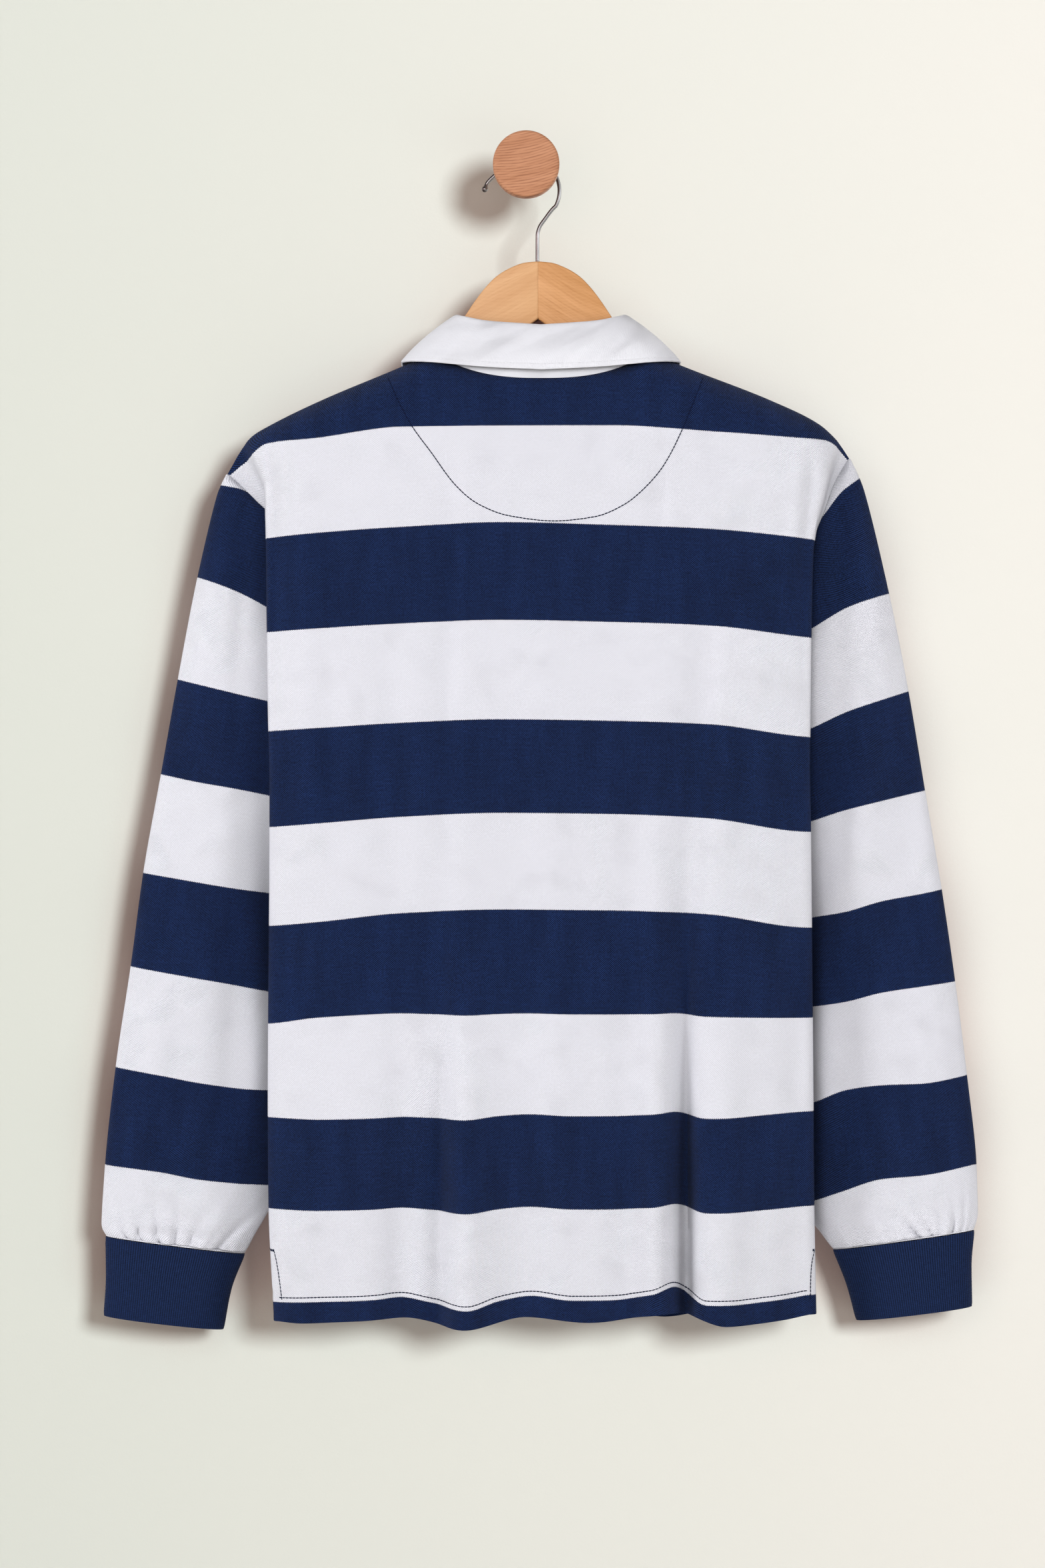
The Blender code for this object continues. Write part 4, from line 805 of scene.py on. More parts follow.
@dataclass
class Sleeve:
    """One sleeve: a flattened tube from the armhole seam to the cuff."""

    form: Form
    side: Side
    hoops: Hoops
    folds: tuple[Crease, ...]
    lower_rows: int = 104
    half_columns: int = 72
    rear_shift: tuple[float, float] = (14.0, 22.0)  # how far the rear face's creases lie off the front's
    seam_groove: tuple[float, float, float] = (0.35, 2.5, 0.4)  # at the cuff: depth and width; at the armhole

    def lines(self, station: Array) -> tuple[Array, Array, Array]:
        """Outer fold, inner fold and half thickness at stations 0 to 1 down the sleeve."""
        table = by_share(self.form.sleeve[self.side.value])
        outer, inner = (smooth_all(table, columns, station) for columns in ((1, 5, 2), (3, 6, 4)))
        return outer, inner, smooth(table, 7, station)

    def station_at(self, points: Array) -> Array:
        """Station of the section line, outer fold to inner fold, that passes through each point."""
        stations = np.linspace(0, 1, 500)
        outer, inner, _ = self.lines(stations)
        slope = (inner[:, 2] - outer[:, 2]) / (inner[:, 0] - outer[:, 0])
        return np.array([np.interp(-z, -(outer[:, 2] + (x - outer[:, 0]) * slope), stations)
                         for x, _, z in points])

    def build(self, back: Array, front: Array) -> bpy.types.Object:
        """Shape the sleeve from its armhole seams and make its mesh.

        Above the underarm a row is an arc from the back seam round the outer fold to the front
        seam; below, it closes into the flat oval |x|^p + |y|^p = 1.

        Args:
            back: armhole seam of the back panel, from the top.
            front: armhole seam of the front panel, from the top.

        Returns:
            The sleeve, its outer skin sunk a little along its seams.
        """
        form, last = self.form, len(back) - 1
        start = np.maximum.accumulate(self.station_at(back))
        crowded = 1 - np.linspace(1, 0, self.lower_rows + 1)[1:] ** form.crowding
        below = start[-1] + (1 - start[-1]) * crowded
        station = np.concatenate([start, below])
        outer, inner, thick = self.lines(station)
        outer[0] = back[0]
        thick[:last + 1] = np.minimum(thick[:last + 1], np.linalg.norm(outer[:last + 1] - back, axis=1) * 0.4)
        formed = ease((station - start[-1]) / form.tube_formed)
        seam = inner[last + 1:] + (back[-1] - inner[last]) * (1 - formed[last + 1:, None])
        share = np.linspace(0, 1, self.half_columns + 1)
        square = form.sleeve_squareness
        tube = ((1 - signed_power(np.cos(math.pi * share), 2 / square)) / 2,
                np.sin(math.pi * share).clip(0) ** (2 / square))
        drawn = np.sin(math.pi / 2 * share) ** 1.1
        drop = (1 - drawn ** square).clip(0) ** (1 / square) - (1 - drawn)
        drop = drop / drop.max()
        across = drawn + (tube[0] - drawn) * formed[:, None]
        deep = drop + (tube[1] - drop) * formed[:, None]
        to_cuff = run_of(outer[::-1])[::-1]
        faces = []
        for facing, armhole in ((-1.0, back), (1.0, front)):
            near = np.vstack([armhole, seam])
            arc = near[:, None] + (outer - near)[:, None] * across[..., None]
            where = share / 2 if facing < 0 else 1 - share / 2
            swell = np.zeros_like(across)
            for middle, width, depth, begins, ends in form.sleeve_creases[self.side.value]:
                length = np.sin(math.pi * np.clip((station - begins) / (ends - begins), 0, 1)) ** 2
                swell -= depth * length[:, None] * bell(where - middle, width)
            swell += self._gathers(CUFF_GATHERS[self.side.value], across, to_cuff, facing)
            arc[..., 1] += facing * (thick[:, None] + swell) * deep
            x, z = (arc[..., axis] + (0 if facing < 0 else shift)
                    for axis, shift in zip((0, 2), self.rear_shift))
            soft = sum(fold.sink(x, z) for fold in self.folds)
            arc[..., 1] -= facing * soft * np.minimum(deep, 0.7) * ease(to_cuff / 12.0)[:, None]
            faces.append(arc)
        faces[1][:, -1] = faces[0][:, -1]
        points = np.concatenate([faces[0], faces[1][:, -2::-1]], axis=1)
        points[0] = back[0]
        points[last:, -1] = points[last:, 0]
        u = run_lengths(points, 1)
        u = u - u[:, self.half_columns][:, None]
        at_cuff, width, at_armhole = self.seam_groove
        armhole = np.zeros_like(u)
        armhole[:last, 0] = armhole[:last, -1] = 1.0
        chart = np.stack([u, self.hoops.coordinate(points[..., 0], points[..., 2])], axis=-1)
        return Shell(f"sleeve_{self.side.word}_cloth", points, -self.side.sign, form.cloth, {"hoops": chart},
                     -at_cuff * bell(to_cuff, width)[:, None] - at_armhole * armhole).build()

    @staticmethod
    def _gathers(rows: Table, across: Array, to_cuff: Array, facing: float) -> Array:
        """Short puckers that fan up out of the cuff seam, in another order on the rear face.

        height = tall * exp(-run^1.5) * exp(-((place - middle - lean run) / width)^2), where run is
        the way from the cuff over the pucker's reach; on the seam itself it is nothing.

        Args:
            rows: place, width, height, reach and lean of each pucker.
            across: share from the inner fold to the outer one at each point.
            to_cuff: way to the cuff from each row, millimetres.
            facing: -1 on the face away from the wall, 1 on the rear face.
        """
        height = np.zeros_like(across)
        place = across if facing < 0 else 1 - 0.93 * across
        for middle, width, tall, reach, lean in rows:
            run = to_cuff[:, None] / reach
            height += (1.2 * tall * np.exp(-run ** 1.5)
                       * bell(place - middle - lean * run, width * (0.8 + 0.9 * run)))
        return height * ease(to_cuff / 1.5)[:, None]


@dataclass
class Cuff:
    """Rib-knit cuff: rounded ribs down its outside, a plain inside."""

    form: Form
    side: Side
    rows: int = 22
    per_rib: int = 6
    end_shares: tuple[float, float] = (0.04, 0.03)  # how much of the cuff rounds over at seam and hand
    thinner_ends: float = 0.7
    sway: tuple[float, float] = (0.35, 17.0)  # height of the slow unevenness, and its pitch in ribs

    def build(self) -> bpy.types.Object:
        """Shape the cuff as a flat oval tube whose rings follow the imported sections.

        Relief: |sin|^1.4 once over each rib, and a slow sway that dies out at the two ends.
        """
        form, count = self.form, self.form.ribs_round_cuff * self.per_rib
        table, share = by_share(form.cuff[self.side.value]), np.linspace(0, 1, self.rows + 1)
        grid = np.stack([self._ring(row, count) for row in smooth_all(table, tuple(range(1, 6)), share)])
        grid = np.concatenate([grid, grid[:, :1]], axis=1)
        rib = np.arange(count + 1) / self.per_rib
        profile = (np.sin(math.pi * (rib - 0.5)) ** 2) ** 0.7
        ends = (bell(share, self.end_shares[0]) + bell(1 - share, self.end_shares[1]))[:, None]
        height, pitch = self.sway
        sway = height * np.sin(share[:, None] * math.pi) * np.sin(rib[None] * 2 * math.pi / pitch + 1.0)
        relief = form.rib_height * profile[None] * (1 - 0.5 * ends) + sway * (1 - ends)
        chart = np.stack([np.broadcast_to(rib, relief.shape), run_lengths(grid, 0)], axis=-1)
        return Shell(f"cuff_{self.side.word}_rib", grid, 1, form.cuff_cloth - self.thinner_ends * ends,
                     {"cloth": chart}, relief).build()

    def _ring(self, row: Array, count: int) -> Array:
        """Points evenly spaced along the flat oval of one section, |x|^p + |y|^p = 1."""
        x_out, z_out, x_in, z_in, thick = row
        outer, inner = np.array([(x_out, x_in), self.form.cuff_y, (z_out, z_in)]).T
        fine = np.linspace(0, 2 * math.pi, 1441) * -self.side.sign
        power = 2 / self.form.sleeve_squareness
        along, deep = signed_power(np.cos(fine), power), signed_power(np.sin(fine), power)
        curve = (outer + inner) / 2 + (outer - inner) / 2 * along[:, None]
        curve[:, 1] -= thick * deep
        run = run_of(curve)
        return read_along(np.linspace(0, run[-1], count, endpoint=False), run, curve)


@dataclass
class Collar:
    """White collar in two pieces: the band on the neckline, and the fall that rolls over it."""

    form: Form
    columns: int = 360
    band_rows: int = 14
    falling_rows: int = 30
    stitch_inset: float = 4.2
    stitch_groove: tuple[float, float] = (0.28, 1.1)  # depth and width
    end_opens: float = 6.0  # degrees over which the bulge of the fall dies out at its two ends
    side_angle: float = 95.0  # where the front neckline ends at the neck point
    ripple: tuple[float, float, float] = (0.10, 8.1, 5.0)  # height, pitch, reach from the fall's edge
    edge: Array = field(init=False)
    fall: Shell = field(init=False)
    # out from the band and up from its top edge: section of the turned fold
    roll: Table = (
        (-1.25, -2.2), (-1.2, -1.1), (-0.7, -0.45), (0.1, -0.2), (0.9, -0.45), (1.7, -1.15), (2.35, -2.1),
        (2.9, -3.3))
    # angle round the neck, share of the fall, width in degrees, width in shares, height
    dimples: Table = (
        (128, 0.45, 9, 0.35, -0.7), (150, 0.55, 8, 0.3, 0.6), (170, 0.35, 12, 0.3, -0.5),
        (196, 0.6, 10, 0.28, 0.6), (214, 0.4, 8, 0.35, -0.6), (233, 0.55, 9, 0.35, 0.7),
        (60, 0.5, 16, 0.4, 0.7), (302, 0.5, 16, 0.4, -0.7))

    def build(self) -> tuple[bpy.types.Object, bpy.types.Object]:
        """Make the band and the fall."""
        form = self.form
        angle = np.linspace(0, 360, self.columns + 1)
        turned, sign = np.minimum(angle, 360 - angle), np.where(angle > 180, 1.0, -1.0)
        neckline = self._neckline(angle)
        fold, self.edge = (np.stack([form.collar_centre_x + sign * smooth(table, 1, turned),
                                     smooth(table, 2, turned), smooth(table, 3, turned)], axis=-1)
                           for table in (form.fold_line, form.fall_edge))
        along = unit(np.gradient(fold, axis=0))
        outward = unit(np.cross(along, fold - neckline))
        up = np.cross(outward, along)
        top = fold - up * form.stand_below_fold
        steps = np.linspace(0, 1, self.band_rows + 1)
        band = neckline[None] + (top - neckline)[None] * steps[:, None, None]
        stand = self._shell("collar_stand_twill", band, 1, 0.0, (0, 1)).build()
        off, rise = smooth_all(by_share(self.roll), (1, 2), steps).T[:, :, None, None]
        rolled = fold[None] + outward[None] * off + up[None] * rise
        share = np.linspace(0, 1, self.falling_rows + 1)[1:, None, None]
        falling = rolled[-1] + (self.edge - rolled[-1])[None] * share
        bulge = 4 * form.fall_bulge * share * (1 - share)
        for at, down, wide, tall, height in self.dimples:
            bulge = bulge + height * np.exp(-((angle - at) / wide)[None, :, None] ** 2
                                            - ((share - down) / tall) ** 2) * ease((1 - share) / 0.2)
        ends = ease(turned / self.end_opens)[None, :, None]
        falling = falling + outward[None] * bulge * (0.3 + 0.7 * ends)
        grid = np.concatenate([rolled, falling])
        to_edge = np.linalg.norm(grid - self.edge[None], axis=-1)
        height, pitch, reach = self.ripple
        u = run_lengths(grid, 1) * 1000
        stitched = -self.stitch_groove[0] * bell(to_edge - self.stitch_inset, self.stitch_groove[1])
        stitched += height * np.sin(u * 2 * math.pi / pitch + np.sin(u / 17)) * bell(to_edge, reach)
        self.fall = self._shell("collar_fall_twill", grid, -1, stitched, (-1, -2))
        return stand, self.fall.build()

    def topstitch(self) -> tuple[list[Array], list[Array]]:
        """Line of sewing a fixed inset from the fall's edge, with the cloth's directions."""
        grid, normals, searched = self.fall.points[::-1], self.fall.normals[::-1], 20
        away = np.linalg.norm(grid - self.edge[None], axis=-1)
        ends = int(np.ceil(self.stitch_inset / 1.3))
        line, out = (np.array([read_along(self.stitch_inset, away[:searched, k], values[:searched, k])
                               for k in range(ends, grid.shape[1] - ends)]) for values in (grid, normals))
        out = unit(out)
        return [line + out * (self.form.collar_cloth / 2 - 0.12)], [out]

    def _neckline(self, angle: Array) -> Array:
        """Neckline point for each angle: front halves up to the neck points, the back between."""
        form, side_angle = self.form, self.side_angle
        turned = np.minimum(angle, 360 - angle)
        first = side_angle / 8
        share = np.clip((turned - first) / (side_angle - first), 0, 1)
        known = np.linspace(side_angle, 360 - side_angle, 15)
        neck = np.sort(np.append(np.linspace(-1, 1, 13), (-0.93, 0.93)))
        behind = form.back_neck_line(smooth(tuple(zip(known, neck)), 1, angle))
        line = np.empty((len(angle), 3))
        for side, mine in ((0, angle <= 180), (1, angle > 180)):
            line[mine] = form.front_neck_line(side, share[mine])
            start = form.front_neck_line(side, np.zeros(1))[0]
            tip = np.array([form.centre_x + (2 * side - 1) * form.collar_end, start[1],
                            start[2] - form.collar_end])
            close = mine & (turned < first)
            line[close] = tip + (start - tip) * (turned[close] / first)[:, None]
        inside = (angle >= side_angle) & (angle <= 360 - side_angle)
        line[inside] = behind[inside]
        return line

    def _shell(self, name: str, grid: Array, out: int, relief: float | Array, thin_rows: tuple[int, int]
               ) -> Shell:
        """Shell of one collar piece with its free edge thinned."""
        thick = np.full(grid.shape[:2], self.form.collar_cloth)
        for row, share in zip(thin_rows, (0.55, 0.9)):
            thick[row] *= share
        return Shell(name, grid, out, thick, cloth_chart(grid), relief)


@dataclass
class Placket:
    """The slit in the front: an outer and an inner strip of twill, and three small buttons."""

    form: Form
    front: Array
    rows: int = 76
    columns: int = 18
    cell: float = 1.7  # about a cell's side, millimetres
    apart: float = 0.5  # air between a strip and the panel
    below_top: float = 2.0  # start of the strips under the neckline
    ripple: float = 0.12

    def strip(self, face: float) -> Array:
        """Middle surface of a strip, moved out (1) or in (-1) from the panel's middle column."""
        form = self.form
        centre = self.front.shape[1] // 2 - 1
        y, z = self.front[:, centre, 1], self.front[:, centre, 2]
        y_panel = float(np.interp(9.0, z[0] - z, y))
        top = z[0] - self.below_top
        x = form.centre_x + form.placket_width * np.linspace(-0.5, 0.5, self.columns + 1)
        z = np.linspace(top, top - form.placket_length, self.rows + 1)
        grid_x, grid_z = np.meshgrid(x, z)
        away = form.cloth / 2 + form.placket_cloth / 2 + self.apart
        wave = self.ripple * np.sin(grid_z / 7.0) * np.sin(grid_x / 5.0)
        return np.stack([grid_x, y_panel + face * away + wave, grid_z], axis=-1)

    def outline(self) -> Array:
        """Sewing line just inside the outer strip's sides and foot."""
        grid = self.strip(1.0)
        left, right = grid[2:-2, 2], grid[2:-2, -3][::-1]
        line = np.vstack([left, grid[-3, 3:-3], right])
        return line + (0.0, self.form.placket_cloth / 2 - 0.1, 0.0)

    def build(self) -> list[bpy.types.Object]:
        """Make both strips."""
        across = np.arange(self.columns + 1)
        inset = self.cell * np.minimum(np.minimum(across, across[::-1])[None],
                                       np.arange(self.rows, -1, -1)[:, None])
        thick = self.form.placket_cloth - 0.7 * np.exp(-inset)
        made = []
        for name, face in (("placket_over_twill", 1.0), ("placket_under_twill", -1.0)):
            grid, relief = self.strip(face), -0.2 * bell(inset - 2 * self.cell, 1.2) * face
            made.append(Shell(name, grid, 1, thick, cloth_chart(grid), relief).build())
        return made


@dataclass(frozen=True)
class Lathe:
    """Closed body of revolution about an axis along y."""

    name: str
    centre: tuple[float, float]
    profile: Table
    count: int = 64

    def build(self, sharp: float = 50.0) -> bpy.types.Object:
        """Turn the profile (radius, y) into a mesh."""
        (x, z), (c, s) = self.centre, circle(self.count)
        rings = np.stack([np.stack([x + r * c, np.full(self.count, y), z + r * s], axis=-1)
                          for r, y in self.profile])
        return rings_object(self.name, rings, sharp)


@dataclass(frozen=True)
class Button:
    """Small turned button: a flat back, a rounded rim, a dished face and two thread stitches."""

    name: str
    centre: tuple[float, float, float]
    radius: float = 6.0
    thick: float = 3.0
    rim: tuple[float, float, float] = (0.9, 1.0, 1.5)  # its half axes out and along, and its middle's height
    dish: Table = ((0.70, -0.35), (0.62, -0.9), (0.3, -1.05))  # share of the radius, level under the top
    holes: tuple[float, float] = (1.5, 1.1)  # half their distance across and up

    def build(self) -> tuple[bpy.types.Object, bpy.types.Object]:
        """Make the button and its sewing thread."""
        x, y, z = self.centre
        r, t, (out, along, height), (apart, up) = self.radius, self.thick, self.rim, self.holes
        rim = [(r - out + out * math.sin(a), y + height - along * math.cos(a))
               for a in np.linspace(0, math.pi, 9)]
        dish = [(r * share, y + t + level) for share, level in self.dish]
        disc = Lathe(self.name + "_turned", (x, z), ((r * 0.82, y), *rim, *dish), 48).build()
        paths = [np.array([[x + dx, y + t - 0.7, z + dz] for dx in (-apart, apart)]) for dz in (-up, up)]
        thread = Stitches(self.name + "_thread", 3.2, 3.2, 0.45).build(paths, [WALLWARDS] * 2)
        return disc, thread


@dataclass(frozen=True)
class Stitches:
    """Rows of sewing: short spindles of thread half sunk in the cloth.

    Each spindle is some rings of six points and two poles; its radius follows a sine arch.
    """

    name: str
    pitch: float
    length: float
    width: float
    rings: int = 5
    round: int = 6
    flatness: float = 0.8

    def build(self, paths: list[Array], normals: list[Array]) -> bpy.types.Object:
        """Lay stitches along paths.

        Args:
            paths: points on the cloth, millimetres.
            normals: outward direction of the cloth for each path, one vector or one per point.
        """
        centres, along, out = [], [], []
        for path, normal in zip(paths, normals):
            run = run_of(path)
            at = np.arange(self.pitch / 2, run[-1], self.pitch)
            first = read_along(np.maximum(at - self.length / 2, 0), run, path)
            last = read_along(np.minimum(at + self.length / 2, run[-1]), run, path)
            centres.append((first + last) / 2)
            along.append(last - first)
            out.append(read_along(at, run, np.broadcast_to(normal, path.shape)))
        centre, axis, up = np.vstack(centres), np.vstack(along), unit(np.vstack(out))
        side = unit(np.cross(axis, up))
        polar = np.linspace(0, math.pi, self.rings + 2)[1:-1]
        c, s = (one[None, None, :, None] for one in circle(self.round))
        ring = (np.cos(polar)[None, :, None, None] * -0.5 * axis[:, None, None, :]
                + np.sin(polar)[None, :, None, None] ** 0.6 * self.width / 2
                * (c * side[:, None, None, :] + self.flatness * s * up[:, None, None, :]))
        body = centre[:, None, None, :] + ring
        poles = np.stack([centre - axis / 2, centre + axis / 2], axis=1)
        points = np.concatenate([body.reshape(len(centre), -1, 3), poles], axis=1)
        ringed = self.rings * self.round
        one = tube_faces(self.rings, self.round, ringed, ringed + 1)
        faces = (one[None] + (ringed + 2) * np.arange(len(centre))[:, None, None]).reshape(-1, 3)
        if faces_inwards(points[0][one] - centre[0]):
            faces = faces[:, ::-1]
        return make_object(self.name, points.reshape(-1, 3), faces, None, 180.0)


# ------------------------------------------------------------------------------ hanger, hook, peg
@dataclass
class HangerArm:
    """Half of the hanger: a deep middle, a scooped neck and a long arm that slopes down to its rounded nose.
    """

    side: Side
    middle_x: float = 9.0
    plane_y: float = -62.0
    half_thick: float = 6.0
    # distance from the middle, level of the top edge
    scoop: Table = (
        (0, -70.5), (10, -71.5), (20, -75), (31, -81.5), (40, -90.5), (48, -101), (55, -111.5), (61, -120.5),
        (66, -128.5), (71, -136.5), (76, -141.8), (83, -146.5), (100, -153))
    # distance, top, bottom, y, half thickness
    arms: tuple[Table, Table] = (
        ((100, -153, -181, -61.5, 5.5), (163.5, -178.7, -205, -61.5, 5), (192, -194, -213, -61.5, 4.5),
         (201, -200.5, -215, -61.5, 3.5)),
        ((100, -153, -181, -61.5, 5.5), (176, -179.4, -204, -61.5, 5), (203, -195, -211, -61.5, 4.5),
         (211, -200.5, -214, -61.5, 3.5)))
    below: Table = (
        (0, -114.2), (1.8, -115.3), (6.4, -118.6), (11, -121.6), (20, -125), (55, -149), (81, -170))
    edge: float = 1.5
    # way past the arm's end, share of its section: the rounded nose
    nose: Table = ((0.6, 0.985), (1.4, 0.93), (2.2, 0.83), (2.8, 0.68), (3.0, 0.45))
    plain_to: float = 60.0  # way from the middle up to which the depth stays the same

    def build(self) -> bpy.types.Object:
        """Flat-faced sections with rounded edges along the arm, its nose rounded."""
        arm = self.arms[self.side.value]
        end, count = arm[-1][0], len(self.nose)
        tops = self.scoop + tuple(row[:2] for row in arm[1:])
        bottoms = self.below + tuple((row[0], row[2]) for row in arm)
        depths, thicks = (((0, plain), (self.plain_to, plain)) + tuple((row[0], row[k]) for row in arm)
                          for plain, k in ((self.plane_y, 3), (self.half_thick, 4)))
        stations = np.concatenate([[0.03, 0.35], np.linspace(1.2, 110, 76), np.linspace(110, end, 34)[1:]])
        top, bottom, y, thick = (smooth(table, 1, stations) for table in (tops, bottoms, depths, thicks))
        middle, half = (top + bottom) / 2, (top - bottom) / 2
        reach, share = np.array(self.nose).T
        stations = np.concatenate([stations, end + reach])
        middle, y = (np.append(values, np.full(count, values[-1])) for values in (middle, y))
        half, thick = (np.append(values, values[-1] * share)[:, None] for values in (half, thick))
        half[0], thick[0] = half[0] * 0.98, thick[0] * 0.98
        angle = np.radians(np.linspace(0, 90, 7)[None] + np.arange(4)[:, None] * 90).ravel()
        quarter = np.radians(np.repeat(np.arange(4) * 90 + 45, 7))
        edge = np.minimum(self.edge, 0.8 * np.minimum(thick, half))
        x = (self.middle_x + self.side.sign * stations)[:, None]
        rings = np.stack([np.broadcast_to(x, (len(x), len(angle))),
                          y[:, None] + (thick - edge) * np.sign(np.cos(quarter)) + edge * np.cos(angle),
                          middle[:, None] + (half - edge) * np.sign(np.sin(quarter)) + edge * np.sin(angle)],
                         axis=-1)
        return rings_object(f"hanger_arm_{self.side.word}_wood", rings, 60.0)


@dataclass(frozen=True)
class Spline:
    """Dark bar behind the notch under the mitre: painted shade, a dark piece where the hollow lies in shadow.
    """

    middle: tuple[float, float, float] = (9.0, -61.0, -118.0)
    half: tuple[float, float, float] = (9.0, 3.0, 4.6)
    # share of the half length, share of the full section
    ends: Table = ((0.0, 1.0), (0.5, 1.0), (0.95, 1.0), (0.985, 0.93), (1.0, 0.80))
    count: int = 32

    def build(self) -> bpy.types.Object:
        """Small bar with rounded edges and ends."""
        run, full = (np.concatenate([sign * column[:0:-1], column])[:, None]
                     for sign, column in zip((-1, 1), np.array(self.ends).T))
        c, s = (signed_power(one, 0.4) for one in circle(self.count))
        x, y, z = self.middle
        rings = np.stack([np.broadcast_to(x + self.half[0] * run, (len(run), self.count)),
                          y + self.half[1] * full * c, z + self.half[2] * full * s], axis=-1)
        return rings_object("hanger_spline", rings, 60.0)


@dataclass
class Hook:
    """Bent round wire: a bend over the peg, an easy S down to the shank, a small ball at the tip."""

    wire: float = 1.45
    ball: float = 2.4
    centre: tuple[float, float] = (0.0, -16.6)
    bend: float = 25.2
    flare: float = 5.6
    plane_y: float = -62.0
    flare_from: float = 136.0
    tip_angle: float = 172.0
    # x, z down to the shank's end
    neck: Table = ((20.9, -29.5), (14.8, -37.3), (9.9, -44.8), (8.6, -50.0), (8.5, -58.0), (8.5, -69.9))
    count: int = 24

    def route(self) -> Array:
        """Middle line, x and z, from the tip to the shank, even points on a smooth curve."""
        turn = np.radians(np.linspace(self.tip_angle, -31, 60))
        opened = ease((np.degrees(turn) - self.flare_from) / (self.tip_angle - self.flare_from))
        flare = self.flare * opened ** 1.5
        bend = np.stack([self.centre[0] + (self.bend + flare) * np.cos(turn),
                         self.centre[1] + self.bend * np.sin(turn)], axis=-1)
        return curve_through(np.vstack([bend[:-1], np.array(self.neck)]), count=150)

    def build(self) -> bpy.types.Object:
        """Sweep the wire and close its tip with the ball."""
        route = self.route()
        tangent = unit(np.gradient(route, axis=0))
        middle = route[0] - tangent[0] * self.ball
        polar = np.radians(np.linspace(172, 38, 12))  # from the ball's pole to where the wire leaves it
        at = np.vstack([middle + tangent[0] * self.ball * np.cos(polar)[:, None], route[2:]])
        along = np.vstack([np.repeat(tangent[:1], len(polar), axis=0), tangent[2:]])
        radius = np.concatenate([self.ball * np.sin(polar), np.full(len(route) - 2, self.wire)])[:, None]
        c, s = circle(self.count)
        rings = np.stack([at[:, :1] + along[:, 1:] * radius * c, self.plane_y + radius * s,
                          at[:, 1:] - along[:, :1] * radius * c], axis=-1)
        return rings_object("hanger_hook_wire", rings, 60.0)


@dataclass(frozen=True)
class Peg:
    """Turned wooden peg: a neck out of the wall and a thick round disc with softened edges."""

    neck: float = 6.8
    disc: float = 25.0
    disc_thick: float = 14.0
    face_y: float = -90.0
    edge: float = 2.2
    dome: float = 0.25
    dome_radius: float = 23.0

    def build(self) -> bpy.types.Object:
        """Turn the peg, its face very slightly domed."""
        rear, edge = self.face_y + self.disc_thick, self.edge
        profile = [(self.neck, 0.0), (self.neck, rear + 1.0), (self.neck + 0.5, rear + 0.3),
                   (self.neck + 1.2, rear)]
        for centre, start in ((rear - edge, 0.0), (self.face_y + edge, math.pi / 2)):
            profile += [(self.disc - edge + edge * math.sin(a), centre + edge * math.cos(a))
                        for a in np.linspace(start, start + math.pi / 2, 9)]
        profile += [(r, self.face_y - self.dome * (1 - (r / self.dome_radius) ** 2))
                    for r in (20.0, 14.0, 8.0, 3.0)]
        return Lathe("wall_peg_turned", (0.0, 0.0), tuple(profile), 128).build(60.0)


